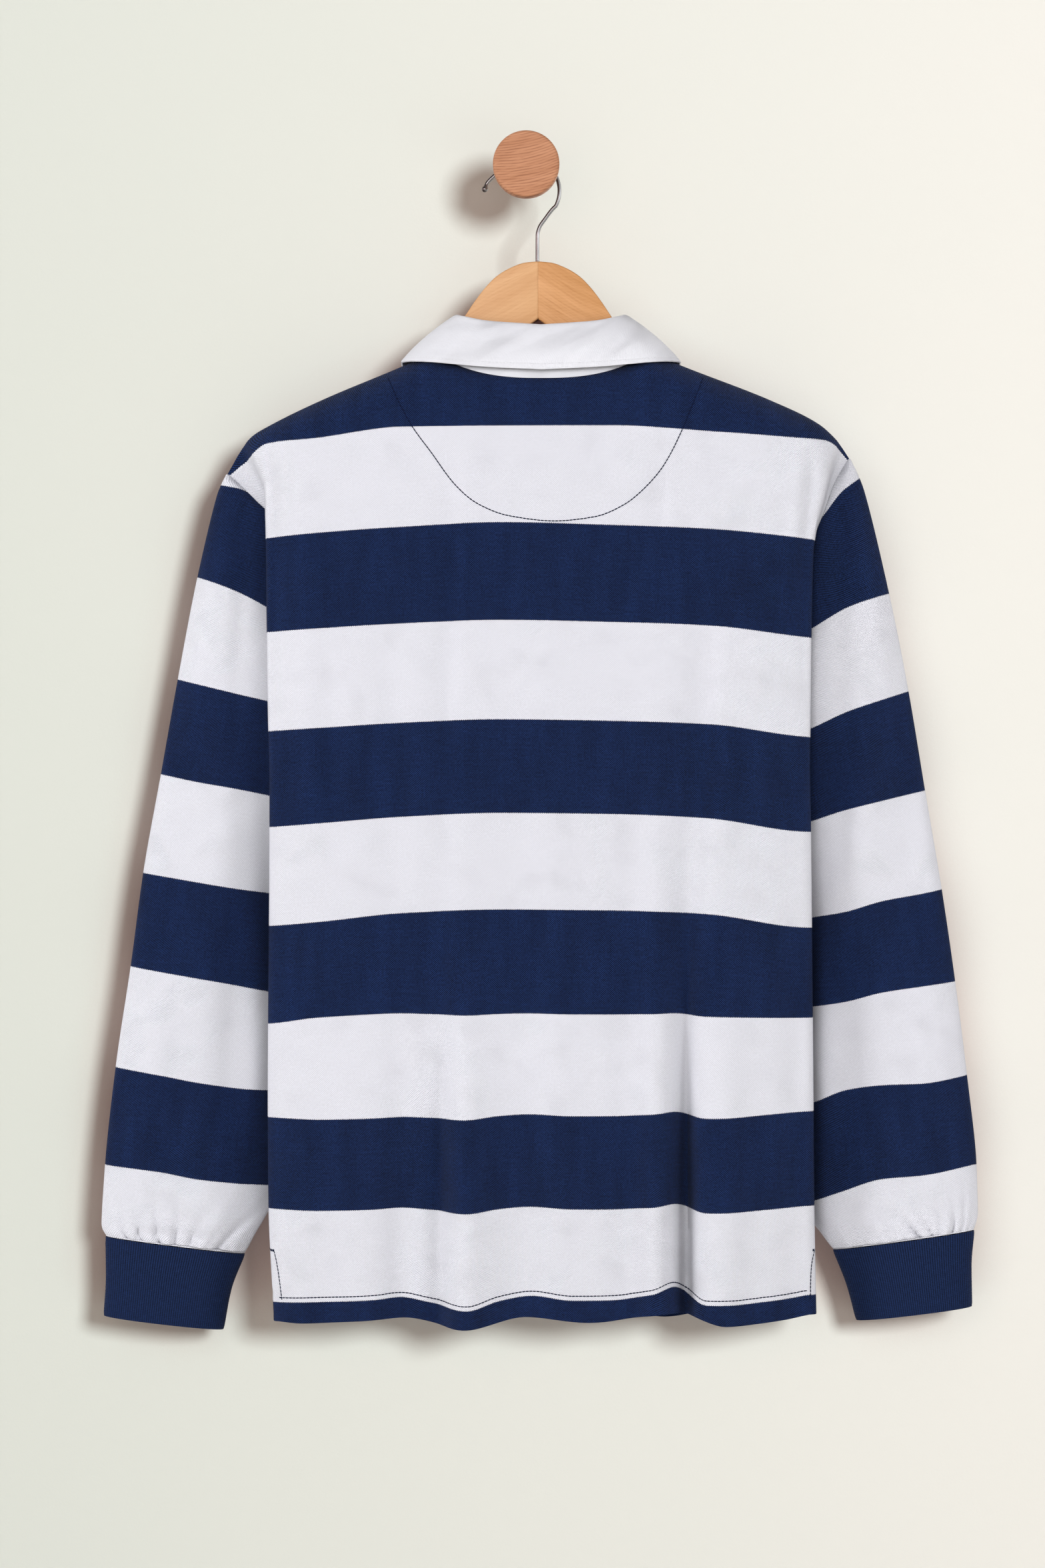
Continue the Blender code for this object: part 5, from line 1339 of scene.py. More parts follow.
# ------------------------------------------------------------------------------ node trees
class Graph:
    """Short ways to add linked nodes to a shader node tree."""

    def __init__(self, tree: bpy.types.NodeTree) -> None:
        self.tree = tree

    def node(self, kind: str, inputs: dict | None = None, **settings) -> bpy.types.Node:
        """Add a shader node of a kind, set its properties, and link or set its inputs."""
        made = self.tree.nodes.new("ShaderNode" + kind)
        for key, value in settings.items():
            setattr(made, key, value)
        for key, value in (inputs or {}).items():
            self.feed(made.inputs[key], value)
        return made

    def feed(self, socket: bpy.types.NodeSocket, value) -> None:
        """Link a socket to another, or set its own value."""
        if isinstance(value, bpy.types.NodeSocket):
            self.tree.links.new(value, socket)
        else:
            socket.default_value = value

    def math(self, operation: str, *values) -> bpy.types.NodeSocket:
        """One math node."""
        return self.node("Math", dict(enumerate(values)), operation=operation).outputs[0]

    def times(self, value, factor) -> bpy.types.NodeSocket:
        """Product of two values."""
        return self.math("MULTIPLY", value, factor)

    def sine(self, value, rate: float = 1.0) -> bpy.types.NodeSocket:
        """Sine of a value times a rate."""
        return self.math("SINE", self.times(value, rate))

    def ramp(self, value, low: float, high: float, to_low: float = 0.0, to_high: float = 1.0
             ) -> bpy.types.NodeSocket:
        """Clamped linear map."""
        return self.node("MapRange", {"Value": value, "From Min": low, "From Max": high, "To Min": to_low,
                                      "To Max": to_high}).outputs["Result"]

    def blend(self, factor, first, second) -> bpy.types.NodeSocket:
        """Mix of two colours."""
        made = self.node("Mix", data_type="RGBA")
        for name, value in (("Factor_Float", factor), ("A_Color", first), ("B_Color", second)):
            self.feed(next(one for one in made.inputs if one.identifier == name), value)
        return next(one for one in made.outputs if one.identifier == "Result_Color")

    def noise(self, vector, scale: float, detail: float = 2.0, roughness: float = 0.5
              ) -> bpy.types.NodeSocket:
        """Noise value, about 0.5 on average."""
        return self.node("TexNoise", {"Vector": vector, "Scale": scale, "Detail": detail,
                                      "Roughness": roughness}).outputs[0]

    def stretch(self, vector, x: float, y: float, z: float = 1.0) -> bpy.types.NodeSocket:
        """Vector times a fixed scale on each axis."""
        return self.node("VectorMath", {0: vector, 1: (x, y, z)}, operation="MULTIPLY").outputs[0]

    def scale(self, vector, factor) -> bpy.types.NodeSocket:
        """Vector or colour times one value."""
        return self.node("VectorMath", {0: vector, "Scale": factor}, operation="SCALE").outputs[0]

    def split(self, vector) -> tuple[bpy.types.NodeSocket, ...]:
        """The three parts of a vector."""
        return tuple(self.node("SeparateXYZ", {0: vector}).outputs)

    def join(self, *parts) -> bpy.types.NodeSocket:
        """Vector of three parts."""
        return self.node("CombineXYZ", dict(enumerate(parts))).outputs[0]

    def place(self) -> bpy.types.NodeSocket:
        """Where the point is in its object, metres."""
        return self.node("TexCoord").outputs["Object"]

    def chart(self, name: str) -> bpy.types.NodeSocket:
        """A UV map."""
        return self.node("UVMap", uv_map=name).outputs[0]

    def open_to(self, distance: float, samples: int) -> bpy.types.NodeSocket:
        """How open the surroundings are within a distance: 0 shut in, 1 free."""
        return self.node("AmbientOcclusion", {"Distance": distance}, samples=samples).outputs["AO"]

    def effect(self, name: str, chart, **inputs) -> bpy.types.NodeOutputs:
        """Add a shared effect on a chart, and give its outputs."""
        tree = bpy.data.node_groups.get(name) or EFFECTS[name]()
        return self.node("Group", {"Chart": chart, **inputs}, node_tree=tree).outputs


class Effect(Graph):
    """New shader group with an input called Chart, further float inputs, and float outputs."""

    def __init__(self, name: str, inputs: tuple[str, ...], outputs: tuple[str, ...]) -> None:
        super().__init__(bpy.data.node_groups.new(name, "ShaderNodeTree"))
        sockets = ([("Chart", "INPUT", "Vector")] + [(label, "INPUT", "Float") for label in inputs]
                   + [(label, "OUTPUT", "Float") for label in outputs])
        for label, way, kind in sockets:
            self.tree.interface.new_socket(label, in_out=way, socket_type="NodeSocket" + kind)
        self.given = self.tree.nodes.new("NodeGroupInput").outputs
        self.wanted = self.tree.nodes.new("NodeGroupOutput").inputs


def hoop_mask() -> bpy.types.NodeTree:
    """Mask that is 1 on white hoops.

    white = step(-sin(pi * (hoop number + tooth))), where the tooth is a triangle wave of one knit
    column's pitch: each column changes colour a little higher or lower than the next.
    """
    graph = Effect("hoop_mask", (), ("White",))
    chart = graph.given["Chart"]
    across, down, _ = graph.split(chart)
    tooth = graph.math("MULTIPLY_ADD", graph.math("PINGPONG", across, 0.0007), 13.0, -0.0045)
    jitter = graph.math("MULTIPLY_ADD", graph.noise(graph.stretch(chart, 320.0, 1.0), 1.0), 0.006, -0.003)
    number = graph.math("ADD", graph.math("ADD", down, tooth), jitter)
    graph.feed(graph.wanted["White"], graph.ramp(graph.sine(number, math.pi), 0.007, -0.007))
    return graph.tree


def knit_relief() -> bpy.types.NodeTree:
    """Height of heavy jersey: two crossing sines whose shares wander, so the twill turns here and there.

    height = share sin(2 pi (u/w - v/r)) + (1 - share) sin(2 pi (u/w + v/r)) + uneven yarn, where
    w and r are the pitches of the columns and the rows.
    """
    graph = Effect("knit_relief", ("Column", "Row"), ("Height",))
    chart = graph.given["Chart"]
    bent = graph.noise(graph.stretch(chart, 1.0, 1.0), 60.0, 1.0)
    u, v, _ = graph.split(chart)
    across = graph.math("DIVIDE", u, graph.given["Column"])
    down = graph.math("DIVIDE", graph.math("MULTIPLY_ADD", bent, 0.0012, v), graph.given["Row"])
    rising, falling = (graph.sine(graph.math(way, across, down), 2 * math.pi) for way in ("ADD", "SUBTRACT"))
    share = graph.ramp(graph.noise(chart, 38.0, 1.0), 0.30, 0.70, 0.25, 0.85)
    height = graph.math("MULTIPLY_ADD", share, graph.math("SUBTRACT", falling, rising), rising)
    yarn = graph.math("SUBTRACT", graph.noise(chart, 620.0, 3.0, 0.7), 0.5)
    graph.feed(graph.wanted["Height"], graph.math("MULTIPLY_ADD", yarn, 2.2, height))
    return graph.tree


def wood_figure() -> bpy.types.NodeTree:
    """Streaks, pores and growth lines of sawn wood, drawn out along the chart's first axis.

    line = sin(2 pi (z + bow x^2 + noise) / pitch), sharpened; bow bends the lines gently.
    """
    graph = Effect("wood_figure", ("Coarse", "Pitch"), ("Streak", "Pore", "Line"))
    chart = graph.given["Chart"]
    bend = graph.noise(graph.stretch(chart, 9.0, 30.0, 30.0), 1.0, 1.0)
    x, z, y = graph.split(chart)
    drawn = graph.join(graph.times(x, 0.06), graph.math("MULTIPLY_ADD", bend, 0.012, z), y)
    drawn = graph.scale(drawn, graph.given["Coarse"])
    broad, fine = graph.noise(drawn, 130.0, 3.0, 0.55), graph.noise(drawn, 900.0, 3.0, 0.6)
    wander = graph.noise(graph.stretch(chart, 30.0, 130.0, 60.0), 1.0, 2.0)
    bow = graph.times(graph.times(x, x), -4.5)
    level = graph.math("ADD", graph.math("ADD", z, bow), graph.times(wander, 0.0020))
    wave = graph.math("SINE", graph.math("DIVIDE", graph.times(level, 2 * math.pi), graph.given["Pitch"]))
    for label, value in (("Streak", graph.math("MULTIPLY_ADD", broad, 0.65, graph.times(fine, 0.35))),
                         ("Pore", graph.ramp(fine, 0.62, 0.74)),
                         ("Line", graph.times(graph.ramp(wave, 0.1, 0.95), graph.ramp(fine, 0.30, 0.55)))):
        graph.feed(graph.wanted[label], value)
    return graph.tree


EFFECTS = {"hoop_mask": hoop_mask, "knit_relief": knit_relief, "wood_figure": wood_figure}


# ------------------------------------------------------------------------------ finishes
def tint(colour: Colour, factor: float = 1.0) -> tuple[float, float, float, float]:
    """Colour times a factor, no part over 0.9, with an alpha of 1."""
    return (*(min(factor * part, 0.9) for part in colour), 1.0)


@dataclass(frozen=True)
class Finish:
    """What every finish has: a name, a roughness, and how deep its bump is in metres."""

    name: str
    roughness: float = 0.9
    bump: float = 0.0002

    def make(self) -> bpy.types.Material:
        """Build the material: its even values, its paint, and the bump by the height that the paint gives."""
        made = bpy.data.materials.new(self.name)
        made.use_nodes = True
        graph, sockets = Graph(made.node_tree), made.node_tree.nodes["Principled BSDF"].inputs
        for label, value in ({"Roughness": self.roughness} | self.even()).items():
            sockets[label].default_value = value
        height = self.paint(graph, sockets)
        bump = graph.node("Bump", {"Height": height, "Distance": self.bump, "Strength": self.strength()})
        graph.feed(sockets["Normal"], bump.outputs["Normal"])
        return made

    def even(self) -> dict[str, float]:
        """Principled values that are the same all over."""
        return {}

    def strength(self) -> float:
        """How much of the bump counts."""
        return 1.0

    def paint(self, graph: Graph, sockets: bpy.types.NodeInputs) -> bpy.types.NodeSocket:
        """Feed the colour to the shader's sockets.

        Returns:
            Height for the bump, about -1 to 1.
        """
        raise NotImplementedError


@dataclass(frozen=True)
class ClothFinish(Finish):
    """Matt cloth with a faint nap."""

    sheen: float = 0.02
    column: float = 0.0009
    row: float = 0.0009

    def even(self) -> dict[str, float]:
        """Little shine, soft sheen."""
        return {"Specular IOR Level": 0.12, "Sheen Weight": self.sheen, "Sheen Roughness": 0.5}


@dataclass(frozen=True)
class HoopedJersey(ClothFinish):
    """Heavy yarn-dyed jersey in two colours, matt, with painted shade where a fold or a layer shuts light
    out.
    """

    column: float = 0.00170
    row: float = 0.00143
    navy: Colour = (0.0062, 0.0160, 0.0610)
    white: Colour = (0.845, 0.845, 0.925)
    hoop: float = 0.0722
    hollow: float = 0.024

    def paint(self, graph: Graph, sockets: bpy.types.NodeInputs) -> bpy.types.NodeSocket:
        """Hoops of two yarns, painted light on each stitch's crest and painted shade in its groove, the navy
        mottled and slubby.
        """
        hoops = graph.chart("hoops")
        cloth = graph.stretch(hoops, 1.0, self.hoop)
        knit = graph.effect("knit_relief", cloth, Column=self.column, Row=self.row)["Height"]
        # random streaks in the navy's colour: partly the yarn's own tone, partly painted fold shade
        tone_and_painted_shade_mottle = graph.noise(graph.stretch(cloth, 70.0, 13.0), 1.0, 3.0, 0.6)
        slub = graph.noise(graph.stretch(cloth, 60.0, 420.0), 1.0, 2.0)
        # painted light and shade of the knit: lighter on each stitch's crest, darker in its groove
        level = graph.ramp(knit, -0.7, 0.8)
        uneven = graph.times(graph.ramp(tone_and_painted_shade_mottle, 0.34, 0.66, 0.86, 1.16), graph.ramp(slub, 0.3, 0.7, 0.90, 1.10))
        navy = graph.scale(graph.blend(level, tint(self.navy, 0.10), tint(self.navy, 1.92)), uneven)
        white = graph.blend(level, tint(self.white, 0.75), tint(self.white, 0.955))
        both = graph.blend(graph.effect("hoop_mask", hoops)["White"], navy, white)
        # painted shade: ambient occlusion darkens the base colour in folds, between layers and beside the
        # body
        shade = graph.ramp(graph.open_to(self.hollow, 6), 0.35, 0.85, 0.52, 1.0)
        graph.feed(sockets["Base Color"], graph.scale(both, shade))
        return knit


@dataclass(frozen=True)
class Knit(ClothFinish):
    """One-colour yarn knit or twill with a fine pattern of given pitches."""

    colour: Colour = (0.012, 0.02, 0.06)
    dark: float = 0.75
    light: float = 1.2

    def paint(self, graph: Graph, sockets: bpy.types.NodeInputs) -> bpy.types.NodeSocket:
        """Painted shade between the threads: darker where the weave's relief is low."""
        knit = graph.effect("knit_relief", graph.chart("cloth"), Column=self.column, Row=self.row)["Height"]
        dark, light = tint(self.colour, self.dark), tint(self.colour, self.light)
        # painted light and shade of the weave, following its relief
        graph.feed(sockets["Base Color"], graph.blend(graph.ramp(knit, -1.0, 1.0), dark, light))
        return knit


@dataclass(frozen=True)
class RibKnit(ClothFinish):
    """Rib knit: painted light along the crest of each rib, painted shade in the groove, with uneven yarn."""

    row: float = 0.0013
    colour: Colour = (0.0060, 0.0146, 0.0520)

    def paint(self, graph: Graph, sockets: bpy.types.NodeInputs) -> bpy.types.NodeSocket:
        """The chart's first axis counts the ribs, a whole number on each crest."""
        chart = graph.chart("cloth")
        rib, down, _ = graph.split(chart)
        crest = graph.math("COSINE", graph.times(rib, 2 * math.pi))
        stitch = graph.sine(down, 2 * math.pi / self.row)
        yarn = graph.noise(graph.stretch(chart, 0.9, 260.0), 1.0, 3.0, 0.7)
        height = graph.math("MULTIPLY_ADD", graph.math("SUBTRACT", yarn, 0.5), 2.0,
                            graph.math("MULTIPLY_ADD", stitch, 0.15, crest))
        # painted light on each rib's crest and painted shade in its groove, with uneven yarn
        graph.feed(sockets["Base Color"], graph.blend(graph.ramp(height, -1.0, 1.1), tint(self.colour, 0.42),
                                                      tint(self.colour, 1.6)))
        return graph.math("ADD", stitch, graph.times(yarn, 2.0))


@dataclass(frozen=True)
class Thread(Finish):
    """Twisted sewing thread, its ply drawn as fine diagonal turns."""

    colour: Colour = (0.02, 0.03, 0.08)
    shine: float = 0.3

    def even(self) -> dict[str, float]:
        """The thread's shine."""
        return {"Specular IOR Level": self.shine}

    def paint(self, graph: Graph, sockets: bpy.types.NodeInputs) -> bpy.types.NodeSocket:
        """Painted light on each turn of the ply, painted shade between the turns."""
        x, _, z = graph.split(graph.place())
        ply = graph.sine(graph.math("ADD", x, z), 2 * math.pi / 0.0005)
        # painted light on the ply's turns, painted shade between them
        graph.feed(sockets["Base Color"], graph.blend(graph.ramp(ply, -1.0, 1.0), tint(self.colour),
                                                      tint(self.colour, 1.3)))
        return ply


@dataclass(frozen=True)
class Wood(Finish):
    """Clear-finished wood; its grain rises to the right by `tilt` degrees, seen face on."""

    light: Colour = (0.78, 0.46, 0.22)
    dark: Colour = (0.60, 0.30, 0.12)
    pore: Colour = (0.36, 0.17, 0.07)
    tilt: float = 0.0
    coarse: float = 1.0
    coat: float = 0.3
    pitch: float = 0.004
    lines: float = 0.2

    def even(self) -> dict[str, float]:
        """A thin clear coat."""
        return {"Specular IOR Level": 0.2, "Coat Weight": self.coat, "Coat Roughness": 0.22}

    def paint(self, graph: Graph, sockets: bpy.types.NodeInputs) -> bpy.types.NodeSocket:
        """Streaks from light to dark, then pores and growth lines over them."""
        turned = graph.node("VectorRotate", {"Vector": graph.place(), "Angle": math.radians(self.tilt)},
                            rotation_type="Y_AXIS").outputs[0]
        x, y, z = graph.split(turned)
        figure = graph.effect("wood_figure", graph.join(x, z, y), Coarse=self.coarse, Pitch=self.pitch)
        base = graph.blend(graph.ramp(figure["Streak"], 0.38, 0.64), tint(self.light), tint(self.dark))
        for label, share in (("Pore", 0.3), ("Line", self.lines)):
            base = graph.blend(graph.times(figure[label], share), base, tint(self.pore))
        graph.feed(sockets["Base Color"], base)
        graph.feed(sockets["Roughness"],
                   graph.ramp(figure["Streak"], 0.3, 0.7, self.roughness, self.roughness + 0.12))
        return figure["Streak"]


@dataclass(frozen=True)
class Chrome(Finish):
    """Plated wire with patches of rougher shine; a painted reflection of a dark room side darkens it along
    its left.
    """

    colour: Colour = (0.34, 0.34, 0.35)
    # shade is the dark colour of the painted reflection
    shade: Colour = (0.085, 0.060, 0.058)

    def even(self) -> dict[str, float]:
        """Metal."""
        return {"Metallic": 1.0}

    def paint(self, graph: Graph, sockets: bpy.types.NodeInputs) -> bpy.types.NodeSocket:
        """Painted reflection by the normal's x: bright to the right, dark to the left, a little lighter again
        along the left edge.
        """
        place = graph.place()
        wipes_and_reflection_wobble = graph.noise(place, 90.0, 3.0)
        lean = graph.math("MULTIPLY_ADD", wipes_and_reflection_wobble, 0.10,
                          graph.split(graph.node("NewGeometry").outputs["Normal"])[0])
        # painted reflection: the colour follows which way the surface faces, its border wobbled by the
        # roughness noise
        painted_reflection = graph.blend(graph.ramp(lean, -0.25, 0.45), tint(self.shade), tint(self.colour))
        painted_reflection = graph.blend(graph.ramp(lean, -0.95, -0.60), tint(self.colour, 0.7), painted_reflection)
        graph.feed(sockets["Base Color"], painted_reflection)
        graph.feed(sockets["Roughness"], graph.ramp(wipes_and_reflection_wobble, 0.35, 0.7, self.roughness, self.roughness + 0.14))
        return graph.noise(place, 1500.0, 2.0)


@dataclass(frozen=True)
class ButtonShell(Finish):
    """Cloudy off-white button with a soft polish."""

    colour: Colour = (0.82, 0.80, 0.75)

    def even(self) -> dict[str, float]:
        """A polish."""
        return {"Coat Weight": 0.5}

    def paint(self, graph: Graph, sockets: bpy.types.NodeInputs) -> bpy.types.NodeSocket:
        """Clouds of two tints."""
        cloud = graph.noise(graph.stretch(graph.place(), 1.0, 1.0, 2.2), 220.0, 4.0)
        graph.feed(sockets["Base Color"], graph.blend(graph.ramp(cloud, 0.35, 0.7), tint(self.colour),
                                                      tint(self.colour, 0.78)))
        return cloud


@dataclass(frozen=True)
class Paint(Finish):
    """Matt emulsion with roller stipple; two tints shade into each other from left to right, the right one
    lighter and warmer as painted light.

    Where something stands close in front, a warm painted shadow darkens the paint.
    """

    # the right tint is lighter and warmer than the left: painted light, as if more light fell on the wall's
    # right
    left: Colour = (0.625, 0.650, 0.605)
    right: Colour = (0.690, 0.675, 0.640)
    cast: Colour = (0.50, 0.37, 0.33)
    see_through_behind: bool = True

    def even(self) -> dict[str, float]:
        """Little shine."""
        return {"Specular IOR Level": 0.2}

    def strength(self) -> float:
        """A faint stipple."""
        return 0.35

    def paint(self, graph: Graph, sockets: bpy.types.NodeInputs) -> bpy.types.NodeSocket:
        """The two tints with a wandering border, and the painted shadow."""
        place = graph.place()
        patch = graph.math("SUBTRACT", graph.noise(place, 3.0, 2.0), 0.5)
        side = graph.math("MULTIPLY_ADD", patch, 0.25, graph.split(place)[0])
        base = graph.blend(graph.ramp(side, -0.42, 0.42), tint(self.left), tint(self.right))
        # painted shadow: ambient occlusion tints the paint warm and dark near things in front
        base = graph.blend(graph.ramp(graph.open_to(0.07, 8), 0.45, 0.85), tint(self.cast), base)
        graph.feed(sockets["Base Color"], base)
        return graph.noise(place, 420.0, 4.0, 0.6)

    def make(self) -> bpy.types.Material:
        """Build the material; from behind it may let light and sight through."""
        made = super().make()
        if self.see_through_behind:
            graph, nodes = Graph(made.node_tree), made.node_tree.nodes
            hidden = graph.math("MAXIMUM", graph.node("NewGeometry").outputs["Backfacing"],
                                graph.node("LightPath").outputs["Is Shadow Ray"])
            mixed = graph.node("MixShader", {0: hidden, 1: nodes["Principled BSDF"].outputs[0],
                                             2: graph.node("BsdfTransparent").outputs[0]})
            sink = next(one for one in nodes if one.type == "OUTPUT_MATERIAL")
            graph.feed(sink.inputs["Surface"], mixed.outputs[0])
        return made


# ------------------------------------------------------------------------------ the whole
@dataclass(frozen=True)
class Finishes:
    """Every finish in the scene."""

    jersey: HoopedJersey = HoopedJersey("hooped_jersey", 0.92, 0.00030)
    rib: RibKnit = RibKnit("navy_rib_knit", 0.92, 0.00015)
    twill: Knit = Knit("collar_twill_weave", 0.85, 0.00008, column=0.0007, row=0.0007,
                       colour=(0.70, 0.70, 0.75), dark=0.93, light=1.0)
    # navy thread darker than the jersey's navy: its own dye, deepened with painted shade of the groove it
    # lies in
    navy_thread: Thread = Thread("navy_thread", 0.95, 0.00004, (0.0045, 0.0075, 0.026), 0.06)
    white_thread: Thread = Thread("white_thread", 0.8, 0.00006, (0.66, 0.66, 0.70))
    # the right arm's wood is darker than the left's: partly its own tone, partly painted shade for the side
    # that catches less light
    hanger: tuple[Wood, Wood] = (
        Wood("hanger_wood_left", 0.45, 0.00004, (0.560, 0.315, 0.152), (0.488, 0.256, 0.114),
             (0.35, 0.15, 0.06), tilt=28.0, coarse=0.9, coat=0.04, pitch=0.0030, lines=0.10),
        Wood("hanger_wood_right", 0.45, 0.00004, (0.545, 0.275, 0.114), (0.430, 0.200, 0.070),
             (0.31, 0.12, 0.035), tilt=-31.0, coarse=0.9, coat=0.04, pitch=0.0028, lines=0.14))
    # painted shade: near-black wood for the bar in the notch under the mitre
    spline: Wood = Wood("hanger_spline_wood", 0.6, 0.00004, (0.075, 0.026, 0.018), (0.045, 0.016, 0.012),
                        (0.02, 0.008, 0.006), coat=0.0)
    peg: Wood = Wood("peg_oak", 0.60, 0.00008, (0.455, 0.215, 0.118), (0.375, 0.165, 0.086),
                     (0.17, 0.060, 0.030), tilt=11.0, coarse=1.2, coat=0.0, pitch=0.0020, lines=0.55)
    chrome: Chrome = Chrome("plated_wire", 0.30, 0.00001)
    button: ButtonShell = ButtonShell("button_resin", 0.35, 0.00004)
    wall: Paint = Paint("wall_emulsion", 0.92, 0.00025)
    # the floor's third colour is its painted shadow tint
    floor: Paint = Paint("floor_paint", 0.85, 0.00020, (0.70, 0.69, 0.64), (0.72, 0.70, 0.65),
                         (0.60, 0.54, 0.49), see_through_behind=False)


class Surface:
    """Finds the cloth's outer skin face on, for sewing that lies on it."""

    far, middle_y = 0.25, -0.06  # where a ray starts: its distance in front of the shirt's middle, metres

    def __init__(self, thing: bpy.types.Object, face: Face) -> None:
        data = thing.data
        points = np.empty(len(data.vertices) * 3)
        data.vertices.foreach_get("co", points)
        corners = np.empty(len(data.loops), np.int32)
        data.loops.foreach_get("vertex_index", corners)
        self.tree = BVHTree.FromPolygons(points.reshape(-1, 3).tolist(), corners.reshape(-1, 3).tolist())
        self.face = face.value

    def lay(self, flat: Array, step: float = 1.2) -> tuple[Array, Array]:
        """Points on the skin along a line drawn face on.

        Args:
            flat: x and z of the line's corners, millimetres; a smooth curve passes them.
            step: distance between the points found.

        Returns:
            Points and outward directions, millimetres.
        """
        found, out = [], []
        for x, z in curve_through(flat, step):
            start = Vector((x * MM, self.far * self.face + self.middle_y, z * MM))
            hit, normal, _, _ = self.tree.ray_cast(start, Vector((0, -self.face, 0)))
            if hit is not None:
                found.append(np.array(hit) / MM)
                out.append(np.array(normal))
        return np.array(found), np.array(out)


@dataclass
class Shirt:
    """The shirt with its hanger, hook and peg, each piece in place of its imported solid."""

    form: Form
    finishes: Finishes
    hem_stitch_above: float = 3.3  # the hem's sewing over the last hoop line
    # x, z of sewing on the back
    half_moon: Table = (
        (-104, -160), (-96, -178), (-85.8, -196.8), (-71.8, -216), (-52.8, -241.5), (-36.8, -255),
        (-12.8, -264.3), (20.8, -268.2), (51.3, -265), (73.3, -256), (89.3, -243), (103.8, -225.5),
        (117.3, -199.2), (126, -178), (133, -160))
    vents: tuple[Table, ...] = (
        ((-190, -816.5), (-188, -824.5), (-186, -836.5), (-183.8, -853.5)),
        ((217.2, -816.5), (214.8, -828.5), (214.2, -840.0), (214.0, -853.0)))
    tacks: tuple[Table, ...] = (((-193.6, -816.5), (-189.6, -816.7)), ((215.6, -816.5), (219.4, -816.4)))

    def build(self) -> None:
        """Build and dress every piece."""
        form, finish = self.form, self.finishes
        jersey, twill, rib = finish.jersey.make(), finish.twill.make(), finish.rib.make()
        navy, white = finish.navy_thread.make(), finish.white_thread.make()
        back, front = (Panel(form, face, Hoops(BODY_LINES, waves=waves, shares=LINE_SHARES), folds)
                       for face, waves, folds in ((Face.BACK, BACK_WAVES, creases(BACK_CREASES, 1.25)),
                                                  (Face.FRONT, FRONT_WAVES, creases(FRONT_CREASES, 2.0))))
        back_cloth, front_cloth = back.build(), front.build()
        LOG.info("panels built")
        for panel, cloth in ((back, back_cloth), (front, front_cloth)):
            node = panel.face.name.lower() + "_panel"
            self._dress(cloth, jersey, node)
            sewing = self._panel_sewing(panel, cloth)
            self._dress(sewing, navy)
        for side in Side:
            sleeve = Sleeve(form, side, Hoops(SLEEVE_LINES[side.value], above=(-90.0, -165.0)),
                            creases(SLEEVE_FOLDS[side.value], 2.2))
            cloth = sleeve.build(back.seam(side), front.seam(side))
            self._dress(cloth, jersey, "sleeve_" + side.word)
            cuff = Cuff(form, side).build()
            self._dress(cuff, rib, "cuff_" + side.word)
        LOG.info("sleeves and cuffs built")
        self._collar(twill, white, back_cloth)
        self._placket(front, twill, white, front_cloth)
        self._hardware()

    def _dress(self, thing: bpy.types.Object, material: bpy.types.Material, node: str = ""
               ) -> None:
        """Give a piece its finish, its body, and the node that it stands for."""
        thing.data.materials.clear()
        thing.data.materials.append(material)
        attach(thing, BODY)
        if node:
            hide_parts(node)

    def _panel_sewing(self, panel: Panel, cloth: bpy.types.Object) -> bpy.types.Object:
        """Hem line, and on the back the half-moon and the vents' stitches with their bar tacks."""
        surface = Surface(cloth, panel.face)
        x = np.linspace(-186, 212, 130)
        hem_line = smooth(panel.hoops.lines, 10, x) + smooth(panel.hoops.waves, 1, x) + self.hem_stitch_above
        routes = [surface.lay(np.stack([x, hem_line], axis=-1))]
        if panel.face is Face.BACK:
            routes.append(surface.lay(np.array(self.half_moon, float)))
            routes += [surface.lay(np.array(vent, float)) for vent in self.vents]
            routes += [surface.lay(np.array(tack, float) + (0, lift), 0.6)
                       for tack in self.tacks for lift in (-0.5, 0.0, 0.5)]
        return Stitches(panel.face.name.lower() + "_sewing", 2.7, 2.64, 0.9).build(*zip(*routes))

    def _collar(self, twill: bpy.types.Material, thread: bpy.types.Material, back: bpy.types.Object) -> None:
        """Collar band and fall, and the topstitching round the fall's edge."""
        collar = Collar(self.form)
        stand, fall = collar.build()
        self._dress(stand, twill, "collar_stand")
        self._dress(fall, twill, "collar_fall")
        sewing = Stitches("collar_sewing", 2.6, 2.3, 0.42).build(*collar.topstitch())
        self._dress(sewing, thread)
        LOG.info("collar built")

    def _placket(self, front: Panel, twill: bpy.types.Material, thread: bpy.types.Material,
                 cloth: bpy.types.Object) -> None:
        """Strips, their edge stitching, and the buttons."""
        placket = Placket(self.form, front.points)
        over, under = placket.build()
        sewing = Stitches("placket_sewing", 2.6, 2.3, 0.42).build([placket.outline()], [WALLWARDS])
        self._dress(sewing, thread)
        for strip, node in ((over, "placket_over"), (under, "placket_under")):
            self._dress(strip, twill, node)
        resin = self.finishes.button.make()
        for number in (1, 2, 3):
            low, high = (np.array(corner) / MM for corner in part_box(f"button_{number}"))
            centre = ((low[0] + high[0]) / 2, low[1], (low[2] + high[2]) / 2)
            disc, tie = Button(f"button_{number}", centre, (high[2] - low[2]) / 2, high[1] - low[1]).build()
            self._dress(disc, resin, f"button_{number}")
            self._dress(tie, thread)

    def _hardware(self) -> None:
        """Hanger, hook and peg."""
        for side in Side:
            wood = self.finishes.hanger[side.value].make()
            self._dress(HangerArm(side).build(), wood, "hanger_arm_" + side.word)
        # dark bar of painted shade in the notch under the mitre
        self._dress(Spline().build(), self.finishes.spline.make())
        self._dress(Hook().build(), self.finishes.chrome.make(), "hanger_hook")
        self._dress(Peg().build(), self.finishes.peg.make(), "wall_peg")
        LOG.info("hanger, hook and peg built")


